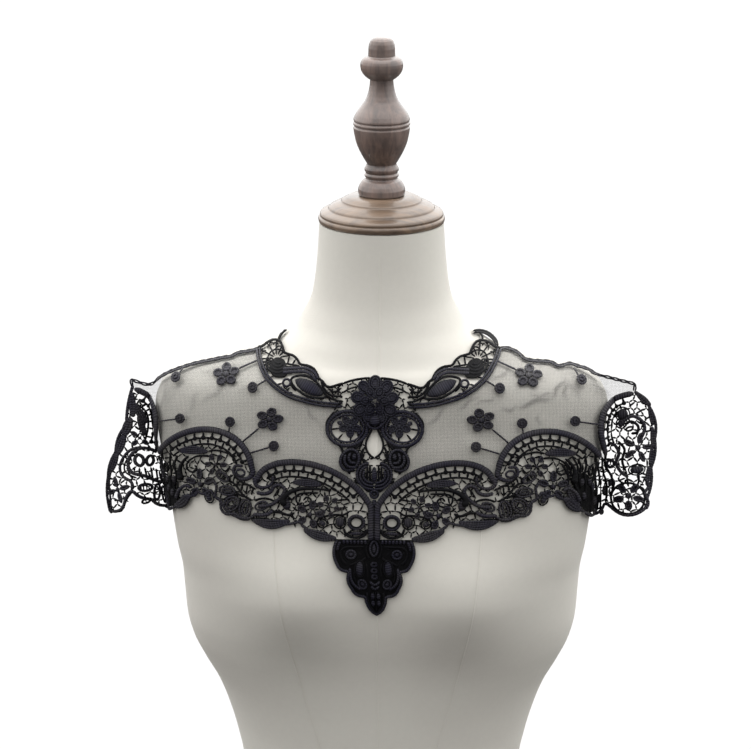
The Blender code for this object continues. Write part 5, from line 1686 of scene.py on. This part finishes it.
# In each thread the crest colour is a painted highlight and the valley colour a painted shade; the cast is
# the thread's navy tone within the highlight.
SATIN = ThreadFinish("satin_stitch", (0.0010, 0.0010, 0.0016, 1), (0.062, 0.058, 0.066, 1),
                     (0.030, 0.028, 0.048, 1), 0.42, 2.1, 1.0, 0.42, 0.16)
NAVY = ThreadFinish("navy_black_stitch", (0.0010, 0.0010, 0.0018, 1), (0.050, 0.048, 0.062, 1),
                    (0.016, 0.015, 0.036, 1), 0.42, 1.9, 1.0, 0.42, 0.16)
GIMP = ThreadFinish("gimp_cord", (0.0008, 0.0008, 0.0012, 1), (0.0070, 0.0068, 0.0078, 1),
                    (0.0040, 0.0040, 0.0075, 1), 0.62, 1.3, 1.0, 0.22, 0.12)
TULLE = TulleFinish("black_tulle", (0.012, 0.012, 0.015, 1), 1.15, 0.085, 0.075, 0.40)
COVER = CoverFinish("cotton_cover", (0.78, 0.765, 0.70, 1), (0.72, 0.69, 0.635, 1), 0.9, 0.12)
# The third colour of each wood is both the paler tone of its patches and the painted highlight on its
# edges.
WOOD_UPRIGHT = WoodFinish("turned_wood_upright", (0.034, 0.020, 0.018, 1), (0.190, 0.120, 0.096, 1),
                          (0.46, 0.39, 0.36, 1), (130.0, 130.0, 16.0))
WOOD_FLAT = WoodFinish("turned_wood_flat", (0.038, 0.023, 0.017, 1), (0.180, 0.116, 0.074, 1),
                       (0.37, 0.27, 0.19, 1), (18.0, 150.0, 120.0))
FLOOR = FloorFinish("pale_floor", (0.05, 0.047, 0.045, 1), 0.90)


# ---------------------------------------------------------------- pieces
def settled(piece: Object, cad_node: str) -> Object:
    """Let a piece stand for a node, with the node's part hidden, and ride on the root body."""
    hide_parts(cad_node)
    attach(piece, "root")
    return piece


def object_of(name: str, made: BMesh, material: Material, crease: float = 40) -> Object:
    """Turn a mesh in metres into an object at the origin, smooth but for its sharp edges."""
    mesh = bpy.data.meshes.new(name)
    made.to_mesh(mesh)
    made.free()
    mesh.materials.append(material)
    mesh.shade_smooth()
    mesh.set_sharp_from_angle(angle=math.radians(crease))
    log.info("%s: %d faces", name, len(mesh.polygons))
    return shown(name, mesh)


@dataclass
class Torso:
    """The covered dress form with its sewn seams."""

    form: FormShape
    cover: Material
    around: int = 184
    rows: int = 190
    seam_width: float = 1.5
    seam_height: float = 0.4
    seams: tuple[tuple[Point, ...], ...] = (
        ((0, 0), (0, 700)),
        ((62, 0), (60, 120), (46, 235), (66, 330), (82, 415), (88, 500), (84, 560)),
    )

    def build(self) -> Object:
        """Make the torso and join its seams to it."""
        made = bmesh.new()
        bmesh.ops.create_grid(made, x_segments=self.around, y_segments=self.rows, size=1)
        levels = self.levels()
        made.verts.ensure_lookup_table()
        flat = np.array([vert.co[:2] for vert in made.verts])
        angle = (flat[:, 0] + 1) * math.pi
        height = np.interp((flat[:, 1] + 1) / 2, np.linspace(0, 1, len(levels)), levels)
        for vert, place in zip(made.verts, (MM * self.form.ring(angle, height)).tolist()):
            vert.co = place
        bmesh.ops.remove_doubles(made, verts=made.verts, dist=1e-5)
        bmesh.ops.holes_fill(made, edges=made.edges, sides=0)
        bmesh.ops.recalc_face_normals(made, faces=made.faces)
        for route in self.seams:
            for back in (False, True):
                for side in ((1,) if route[0][0] == 0 else (-1, 1)):
                    self.sew_seam(made, route, side, back)
        piece = object_of("torso", made, self.cover, 50)
        return settled(piece, "dress_form")

    def levels(self) -> Array:
        """Heights that divide the torso's profile evenly."""
        width, front, _, _ = self.form.section(self.form.heights)
        length = lengths_along(np.stack([width + 0.5 * front, self.form.heights], axis=1))
        return np.interp(np.linspace(0, length[-1], 400), length, self.form.heights)

    def sew_seam(self, made: BMesh, route: tuple[Point, ...], side: int, back: bool) -> None:
        """Lay one low ridge along a route of distances across and heights."""
        line = evened(smooth_line(route, 5.0), 5.0)
        half_width, _, _, power = self.form.section(line[:, 1])
        share = np.clip(np.abs(line[:, 0]) / half_width, 0, 0.999)
        angle = np.arccos(share ** (power / 2))
        angle = math.pi - angle if side < 0 else angle
        angle = angle if back else -angle
        spine = self.form.ring(angle, line[:, 1])
        stamp = tube_stamp(len(spine), 6, False)
        ring = np.rint(stamp.points[:, 2]).astype(int)
        outward = np.stack([spine[:, 0], spine[:, 1], 0 * spine[:, 0]], axis=1)
        outward /= np.linalg.norm(outward, axis=1, keepdims=True)
        across = np.stack([-outward[:, 1], outward[:, 0], 0 * spine[:, 0]], axis=1)
        points = (spine[ring] + across[ring] * (0.5 * self.seam_width * stamp.points[:, 0])[:, None]
                  + outward[ring] * (self.seam_height * stamp.points[:, 1])[:, None])
        verts = [made.verts.new(point) for point in (MM * points).tolist()]
        for face in stamp.faces:
            made.faces.new([verts[corner] for corner in face])


class Turn(NamedTuple):
    """One ring of a turned piece."""

    height: float
    radius: float


@dataclass
class TurnedPiece:
    """A piece of turned wood on the form's axis."""

    name: str
    cad_node: str
    profile: tuple[Turn, ...]
    wood: Material
    steps: int = 96
    rounding: float = 0.5

    def build(self) -> Object:
        """Spin the profile, ease its arrises and close its two ends."""
        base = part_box(self.cad_node)[0][2]
        made = bmesh.new()
        verts = [made.verts.new((MM * turn.radius, 0, base + MM * turn.height))
                 for turn in self.profile]
        for pair in zip(verts, verts[1:]):
            made.edges.new(pair)
        bmesh.ops.bevel(made, geom=verts[1:-1], offset=self.rounding * MM, offset_type="OFFSET",
                        segments=3, profile=0.5, affect="VERTICES", material=-1)
        bmesh.ops.spin(made, geom=made.verts[:] + made.edges[:], cent=(0, 0, 0), axis=(0, 0, 1),
                       dvec=(0, 0, 0), angle=2 * math.pi, steps=self.steps, use_merge=True)
        bmesh.ops.remove_doubles(made, verts=made.verts, dist=1e-6)
        bmesh.ops.holes_fill(made, edges=made.edges, sides=0)
        bmesh.ops.recalc_face_normals(made, faces=made.faces)
        piece = object_of(self.name, made, self.wood, 32)
        return settled(piece, self.cad_node)


NECK_CAP = (
    Turn(0, 50), Turn(0, 52.8), Turn(1.2, 53.6), Turn(3.4, 54), Turn(5.0, 53.4), Turn(5.6, 52.2),
    Turn(6.2, 52.4), Turn(7.4, 52.6), Turn(8.8, 51.8), Turn(9.8, 50.0), Turn(11.2, 46.4),
    Turn(11.6, 45.4), Turn(12.8, 45.0), Turn(13.6, 44.2), Turn(15.8, 40.0), Turn(17.4, 35.6),
    Turn(18.0, 34.4), Turn(19.2, 34.0), Turn(20.0, 32.4), Turn(21.6, 29.6), Turn(23, 26),
)
FINIAL = (
    Turn(0, 17), Turn(0, 19.2), Turn(1.2, 19.9), Turn(5.3, 20.0), Turn(8.6, 18.8), Turn(12.2, 16.4),
    Turn(13.6, 14.0), Turn(14.4, 13.3), Turn(15.2, 13.6), Turn(16.2, 14.5), Turn(17.6, 14.6),
    Turn(18.4, 13.7), Turn(19.2, 13.3), Turn(20.2, 13.9), Turn(21.2, 14.6), Turn(22.8, 14.6),
    Turn(24.2, 13.8), Turn(25.4, 13.0), Turn(27, 12.4), Turn(29.5, 14), Turn(33.6, 16.4),
    Turn(38, 18.7), Turn(42.4, 20.6), Turn(46.6, 22), Turn(53.5, 23.4), Turn(57.2, 23.9),
    Turn(58.2, 23.9), Turn(58.8, 23.0), Turn(59.8, 23.0), Turn(60.4, 24.1), Turn(62.0, 24.1),
    Turn(62.6, 23.1), Turn(63.6, 23.1), Turn(64.2, 23.9), Turn(65.8, 23.6), Turn(69, 22.2),
    Turn(72.3, 20.1), Turn(76.4, 17.0), Turn(80.8, 13.9), Turn(85, 12.1), Turn(89.3, 10.9),
    Turn(94, 10.1), Turn(97.6, 9.8), Turn(98.4, 9.8), Turn(99.6, 11.8),
    Turn(101.6, 14.2), Turn(104, 16.2), Turn(106.4, 17.4), Turn(109.4, 18.0), Turn(112.2, 17.9),
    Turn(114.4, 17.2), Turn(116.0, 16.0), Turn(117.0, 14.4), Turn(117.6, 12.4), Turn(118.4, 11.2),
    Turn(118.8, 11.4), Turn(121.6, 11.2), Turn(124.7, 11.2), Turn(128.6, 10.6), Turn(131.4, 9.4),
    Turn(133, 7.2), Turn(133.8, 4.4), Turn(133.9, 1.5),
)


@dataclass
class Collar:
    """Every piece of the black lace, sewn and draped."""

    drape: Drape
    threads: list[Material]
    navy: Material
    tulle: Material
    net_wall: float = 0.3
    net_step: float = 1.7
    under: float = 1.6
    net_lift: float = 0.55
    net_wave: float = 0.25
    crease_shade: float = 0.22
    crease_sway: float = 1.2
    tape_across: float = 112.0
    tape_up: float = 62.0

    def build(self) -> list[Object]:
        middle = [self.medallion(), self.rosette(), self.drop()]
        made = list(middle)
        for side in Side:
            pieces = [self.inner_scallop(side), self.middle_scallop(side), self.cap_scallop(side),
                      self.neck_border(side), self.shoulder_edge(side)]
            pieces += self.sprigs(side)
            made += pieces + [self.yoke(side)]
        return made

    def sewn(self, side: Side = Side.LEFT, motifs: Sequence[Motif] = ()) -> Needlework:
        """A new piece of needlework, with its motifs sewn in order."""
        work = Needlework(self.drape, side)
        for motif in motifs:
            motif.sew(work)
        return work

    def finished(self, work: Needlework, cad_node: str, dark: bool = False) -> Object:
        """Make a piece of lace and let it stand for its node, in navy-black thread if it is dark."""
        threads = [self.navy, *self.threads[1:]] if dark else self.threads
        return settled(work.made(f"lace_{cad_node}", threads), cad_node)

    def inner_scallop(self, side: Side) -> Object:
        """The scallop next to the centre."""
        top = arch_line(INNER_ARCH)
        outline = outline_of(np.array([(3.4, DROP_SEAM), (3.4, -14)]), beside(top, 2)[6:],
                             bowed(INNER_SEAM)[::-1], bowed(INNER_HEM)[::-1])
        ladder = Ladder(top, start=16, end=9)
        work = self.sewn(side, (
            Brides(outline, 7.0, 1.5, seed=11, clear=((15.4, -22, 7.4), (56, 11, 6), (90, 0, 6)),
                   bare=ladder.zone()),
            ladder,
            *INNER_MOTIFS,
            HemEdge(INNER_HEM, 2.4),
            Band(top, head=((2.7, -37), (2.7, -30), (2.7, -20), (2.6, -12)),
                 tail=((100, 16.7), (99.6, 10.8), (95.2, 7.8), (88.8, 8.8), (85, 12.8), (85.2, 17.6)),
                 trim=(2, 3), blunt=True),
        ))
        return self.finished(work, f"inner_scallop_{side.label}")

    def middle_scallop(self, side: Side) -> Object:
        """The scallop over the front of the shoulder."""
        top = arch_line(MIDDLE_ARCH)
        outline = outline_of(bowed(INNER_SEAM), beside(top, 2), bowed(CAP_SEAM)[::-1],
                             bowed(MIDDLE_HEM)[::-1])
        ladder = Ladder(top, start=12, end=14)
        work = self.sewn(side, (
            Brides(outline, 7.0, 1.5, seed=5, clear=((112.4, 20.2, 4.6), (154, 37, 6)),
                   bare=ladder.zone()),
            ladder,
            *MIDDLE_MOTIFS,
            *FOLD_MOTIFS[side],
            HemEdge(MIDDLE_HEM, 2.4),
            Band(top, head=((110.6, 25.6), (116.6, 25.8), (118.8, 21), (114.8, 15.6), (107, 15.2),
                            (101.8, 19.6)), trim=(7, 0)),
        ))
        return self.finished(work, f"middle_scallop_{side.label}")

    def cap_scallop(self, side: Side) -> Object:
        """The scallop that hangs free beyond the shoulder tip."""
        top = arch_line(CAP_ARCHES[side])
        outline = outline_of(bowed(CAP_SEAM), top, bowed(CAP_HEMS[side])[::-1])
        ladder = Ladder(top, start=6, end=10, depths=(4.2, 9.4, 14.2), pitch=8.4)
        clear = ((204, 26, 9),) if side is Side.RIGHT else ()
        work = self.sewn(side, (
            Brides(outline, 7.2, 1.8, seed=23, clear=clear, bare=ladder.zone()),
            ladder,
            *CAP_MOTIFS[side],
            HemEdge(CAP_HEMS[side], 2.9),
            Band(top, 5.2),
        ))
        return self.finished(work, f"cap_scallop_{side.label}")

    def neck_border(self, side: Side) -> Object:
        """The guipure crescent beside the neck."""
        rim = smooth_line(NECK_RIM, 1.25)
        edge = bowed(NECK_OUTER)
        outline = outline_of(rim[::-1], edge)
        work = self.sewn(side, (
            Brides(outline, 6.0, 1.4, seed=31, clear=((56, 92, 14), (82, 110, 18)), margin=0.4),
            Fan(85.0, 115.6, start=-60, end=170, near=3.0, far=18.0, count=9, outline=outline),
            *NECK_MOTIFS,
            *NECK_TAILS[side],
        ))
        work.cord(rim, 2.3, lift=0.5, thread=Thread.GIMP)
        for strand, width in enumerate((2.3, 2.1)):
            line = beside(evened(edge, 1.2), 2.5 * strand - 1.2)
            work.cord(line, width, 1.9, 0.3, thread=Thread.SATIN)
        return self.finished(work, f"neck_border_{side.label}", dark=True)

    def shoulder_edge(self, side: Side, apart: float = 0.75, sway: float = 0.2) -> Object:
        """The doubled cord along the shoulder, from the neck down to the cap."""
        line = evened(shoulder_line(side), 1.1)
        run = lengths_along(line)
        work = self.sewn(side)
        for strand in (-1, 1):
            shift = 0.5 + apart * strand + sway * strand * np.sin(run * 0.9)
            work.cord(line - left_of(line) * shift[:, None], 1.45, 1.5, 0.3, thread=Thread.SATIN)
        return self.finished(work, f"shoulder_edge_{side.label}")

    def both(self, motifs: Sequence[Motif], middle: Sequence[Motif]) -> Needlework:
        """One piece with motifs mirrored about the centre, and those on the centre line."""
        work = self.sewn()
        for motif in motifs:
            first = len(work.charts)
            motif.sew(work)
            for place in range(first, len(work.charts)):
                faces = work.faces[place] - work.faces[place].min()
                mirrored = Stamp(work.charts[place], faces[:, ::-1])
                work.put(mirrored, work.charts[place] * (-1, 1), work.heights[place],
                         work.stitches[place], Thread(int(work.threads[place][0])))
        for motif in middle:
            motif.sew(work)
        return work

    def medallion(self) -> Object:
        """The middle piece below the rosette."""
        edge = bowed(MEDALLION_EDGE)
        foot = np.array([(0.0, 4.0), (8.0, 7.0)])
        half = outline_of(foot, edge, bowed(NECKLINE), np.array(TEARDROP))
        motifs = [
            Brides(half, 6.4, 1.6, seed=41, clear=((23.6, 57.0, 12), (20.6, 30.6, 9))),
            Cord(tuple(map(tuple, beside(edge, -1.2)[3::6])), 2.2),
            *MEDALLION_MOTIFS,
        ]
        return self.finished(self.both(motifs, MEDALLION_MIDDLE), "medallion", dark=True)

    def rosette(self, ruffle: float = 0.07) -> Object:
        """The padded rosette on top of the medallion: three whorls of petals and a tab below."""
        work = self.sewn()
        for whorl in ROSETTE:
            for petal in range(whorl.petals):
                turn = math.radians(whorl.turn + 360 * petal / whorl.petals)
                wobble = 1 + ruffle * math.sin(2.3 * petal + whorl.reach)
                middle = towards(ROSETTE_CENTRE, turn, whorl.reach)
                work.pad(middle, whorl.length - 2, whorl.width - 2, turn, 1.8, whorl.lift)
                for ring in range(whorl.rings):
                    less = whorl.cord * (1 + 2.2 * ring)
                    line = oval(middle, whorl.length * wobble - less, whorl.width * wobble - less, turn,
                                Form.OVAL, 1.1)
                    work.cord(line, whorl.cord, 1.6, whorl.lift + 0.5 + 0.5 * ring, closed=True,
                              thread=Thread.SATIN)
        work.pad(ROSETTE_KNOT, 9.4, 9.0, 0.5 * math.pi, 3.4, 2.6)
        Cord(ROSETTE_TAB, 2.5, lift=2.4).sew(work)
        return self.finished(work, "rosette", dark=True)

    def drop(self) -> Object:
        """The pendant below the inner scallops."""
        edge = bowed(DROP_EDGE)
        ground = Ground(outline_of(edge, (edge * (-1, 1))[::-1]), 1.0, rounded=False)
        work = self.both([HemEdge(DROP_EDGE, 2.6), *DROP_MOTIFS], [ground, *DROP_MIDDLE])
        return self.finished(work, "drop", dark=True)

    def sprigs(self, side: Side) -> list[Object]:
        """The flowers and dots that lie on the net."""
        made = []
        for kind, rows, sew in (("flower", FLOWERS, self.flower), ("dot", DOTS, self.dot)):
            for place, sprig in enumerate(rows, 1):
                work = self.sewn(side)
                sew(work, sprig)
                made.append(self.finished(work, f"{kind}_{side.label}_{place}"))
        return made

    def flower(self, work: Needlework, sprig: Sprig, squash: float = 0.84) -> None:
        """A blossom a little wider than it is high, one of whose petals points down its stem."""
        turn = math.degrees(math.atan2(sprig.root_up - sprig.up, sprig.root_across - sprig.across))
        Blossom(sprig.across, sprig.up, 5, 7.3, 9.4, 8.4, turn, 2.4, hub=5.6).sew(work)
        middle = np.array(sprig[:2], float)
        work.charts = [middle + (chart - middle) * (1.0, squash) for chart in work.charts]
        self.stem(work, sprig, 11.4)

    def dot(self, work: Needlework, sprig: Sprig, lift: float = 1.2) -> None:
        """A padded dot with two rings of cord on it."""
        work.pad((sprig.across, sprig.up), 7.4, 7.4, 0.6, 2.0, lift)
        for reach, width, rise in ((6.8, 2.0, 0.0), (3.2, 1.5, 0.6)):
            work.cord(oval((sprig.across, sprig.up), reach, reach, 0, step=1.1), width, 1.7,
                      lift + 0.5 + rise, closed=True, thread=Thread.SATIN)
        self.stem(work, sprig, 4.0)

    def stem(self, work: Needlework, sprig: Sprig, start: float) -> None:
        """The thin stem from a sprig to the edge it grows from."""
        own, root = np.array(sprig[:2], float), np.array(sprig[2:], float)
        run = root - own
        length = float(np.linalg.norm(run))
        if length < start + 1:
            return
        line = evened(np.array([own + run * start / length, root]), 1.3)
        work.cord(line, 1.5, 1.3, 0.9, thread=Thread.SATIN)

    def yoke_outline(self, side: Side) -> Array:
        """The net's cut edge, which runs a little way under the lace all round."""
        inner, middle = arch_line(INNER_ARCH, 2.0), arch_line(MIDDLE_ARCH, 2.0)
        return outline_of(
            beside(bowed(NECK_OUTER), self.under), beside(bowed(MEDALLION_EDGE)[::-1], self.under),
            beside(inner[14:-3], self.under), beside(middle, self.under),
            beside(arch_line(CAP_ARCHES[side], 2.0), self.under), shoulder_line(side)[::-1] - (0, 0.8))

    def yoke(self, side: Side) -> Object:
        """The net panel of one side, with its creases, laid on the drape and given a thin wall."""
        outline = self.yoke_outline(side)
        made = cut_sheet(outline, self.net_step)
        chart = np.array([vert.co[:2] for vert in made.verts])
        crease = self.creases(chart, side)
        waves = self.net_wave * np.sin(chart[:, 0] * 0.16) * np.sin(chart[:, 1] * 0.12)
        lift = self.net_lift + waves + crease
        places = self.drape.lay(chart * (side.value, 1), lift)
        layer = made.verts.layers.float_vector.new("cloth")
        for vert, place, flat, fold in zip(made.verts, places.tolist(), chart.tolist(), crease):
            vert.co = place
            # The third coordinate is the painted shade that darkens the net along its creases.
            vert[layer] = (side.value * flat[0], flat[1], self.crease_shade * float(fold))
        if side is Side.RIGHT:
            bmesh.ops.reverse_faces(made, faces=made.faces)
        area = sum(face.calc_area() for face in made.faces)
        name = f"net_yoke_{side.label}"
        piece = object_of(name, made, self.tulle, 80)
        wall = piece.modifiers.new("thickness", "SOLIDIFY")
        wall.thickness, wall.offset = self.net_wall * MM, 0.0
        settled(piece, f"yoke_{side.label}")
        flat = self.flat_size(side, outline)
        log.info("%s: flat %.3f by %.3f m, area %.4f", name, *flat, area)
        return piece

    def flat_size(self, side: Side, outline: Array) -> tuple[float, float]:
        """The net's width and length when flat, as a tape laid across and up the drape gives them."""
        (left, low), (right, high) = outline.min(axis=0), outline.max(axis=0)
        across, rising = np.linspace(left, right, 80), np.linspace(low, high, 60)
        over = np.stack([side.value * across, np.full(80, self.tape_up)], axis=1)
        upward = np.stack([np.full(60, side.value * self.tape_across), rising], axis=1)
        laid = (self.drape.lay(tape, np.zeros(len(tape))) for tape in (over, upward))
        return tuple(float(lengths_along(line)[-1]) for line in laid)

    def creases(self, chart: Array, side: Side) -> Array:
        """How far the net's creases lift it at each chart point."""
        lifted = np.zeros(len(chart))
        for pucker in PUCKERS[side]:
            start, end = np.array(pucker.start, float), np.array(pucker.end, float)
            run = end - start
            share = np.clip((chart - start) @ run / float(run @ run), 0, 1)
            across = np.array([-run[1], run[0]])
            sway = self.crease_sway * np.sin(share * 7 + start[0])[:, None] * across
            foot = start + share[:, None] * run + sway / np.linalg.norm(run)
            away = np.linalg.norm(chart - foot, axis=1)
            taper = np.sin(math.pi * np.clip(0.08 + 0.84 * share, 0, 1))
            lifted = np.maximum(lifted, pucker.height * taper * np.exp(-(away / pucker.width) ** 2))
        return lifted


# ---------------------------------------------------------------- studio
@dataclass
class Studio:
    """The pale floor, the soft lights and the camera."""

    floor: Material
    target: tuple[float, float, float] = (-3.75, -40.0, 596.0)
    distance: float = 2200.0
    elevation: float = 16.5
    azimuth: float = 2.07
    lens: float = 124.07
    sensor: float = 36.0
    bright: tuple[float, float, float] = (0.0, 0.5, 0.866)
    gradient: float = 1.8
    level: float = 0.85

    def build(self) -> None:
        """Set the studio up."""
        self.lay_floor()
        self.light_world()
        self.softbox("top", (0.0, -0.6, 2.7), 2.2, 6.5)
        for side in Side:
            self.softbox(f"{side.name.lower()}_side", (2.5 * side.value, -0.9, 1.6), 2.0, 6.5)
        self.place_camera()
        bpy.context.scene.view_settings.view_transform = "Standard"

    def lay_floor(self) -> None:
        """One wide plain disc, just below the form's base."""
        made = bmesh.new()
        bmesh.ops.create_circle(made, cap_ends=True, segments=64, radius=14.0)
        bmesh.ops.translate(made, verts=made.verts, vec=(0, 0, -0.0005))
        object_of("floor", made, self.floor)

    def light_world(self) -> None:
        """A white room, brightest above and behind, that lights the form from there."""
        world = bpy.data.worlds.new("studio")
        world.use_nodes = True
        bpy.context.scene.world = world
        tree = world.node_tree
        place = node(tree, "TexCoord")
        facing = node(tree, "VectorMath", {0: place.outputs["Generated"], 1: self.bright},
                      operation="DOT_PRODUCT")
        glow = scaled(tree, facing.outputs["Value"], self.gradient, self.level)
        held = math_node(tree, "MAXIMUM", glow, 0.05)
        ray = node(tree, "LightPath")
        seen = node(tree, "Mix", {0: ray.outputs["Is Camera Ray"], 2: held, 3: 1.05})
        feed(tree, tree.nodes["Background"], {"Color": (1.0, 0.998, 0.99, 1),
                                              "Strength": seen.outputs[0]})

    def softbox(self, name: str, place: tuple[float, float, float], size: float,
                power: float) -> None:
        """One square area light that faces the chest."""
        light = bpy.data.lights.new(name, "AREA")
        light.shape, light.size, light.energy = "SQUARE", size, power
        lamp = shown(name, light)
        lamp.location = place
        aim = Vector((0, -0.05, 0.55)) - Vector(place)
        lamp.rotation_euler = aim.to_track_quat("-Z", "Y").to_euler()

    def place_camera(self) -> None:
        """Look down at the collar from in front."""
        lens = bpy.data.cameras.new("camera")
        lens.lens, lens.sensor_width = self.lens, self.sensor
        camera = shown("camera", lens)
        tilt = math.radians(self.elevation)
        turn = math.radians(self.azimuth)
        away = Vector((math.sin(turn) * math.cos(tilt), -math.cos(turn) * math.cos(tilt),
                       math.sin(tilt)))
        camera.location = (Vector(self.target) + away * self.distance) * MM
        camera.rotation_euler = (-away).to_track_quat("-Z", "Y").to_euler()
        bpy.context.scene.camera = camera


def main() -> None:
    """Build the studio, the form and the collar in order."""
    logging.basicConfig(level=logging.INFO, format="%(message)s")
    effects = SharedEffects().build()
    Studio(FLOOR.build(effects)).build()
    form = FormShape()
    Torso(form, COVER.build(effects)).build()
    TurnedPiece("turned_neck_cap", "neck_cap", NECK_CAP, WOOD_FLAT.build(effects)).build()
    TurnedPiece("turned_finial", "finial", FINIAL, WOOD_UPRIGHT.build(effects)).build()
    drape = Drape(form)
    collar = Collar(drape, [SATIN.build(effects), GIMP.build(effects)],
                    NAVY.build(effects), TULLE.build(effects)).build()
    log.info("%d pieces of lace and net", len(collar))


if __name__ == "__main__":
    main()
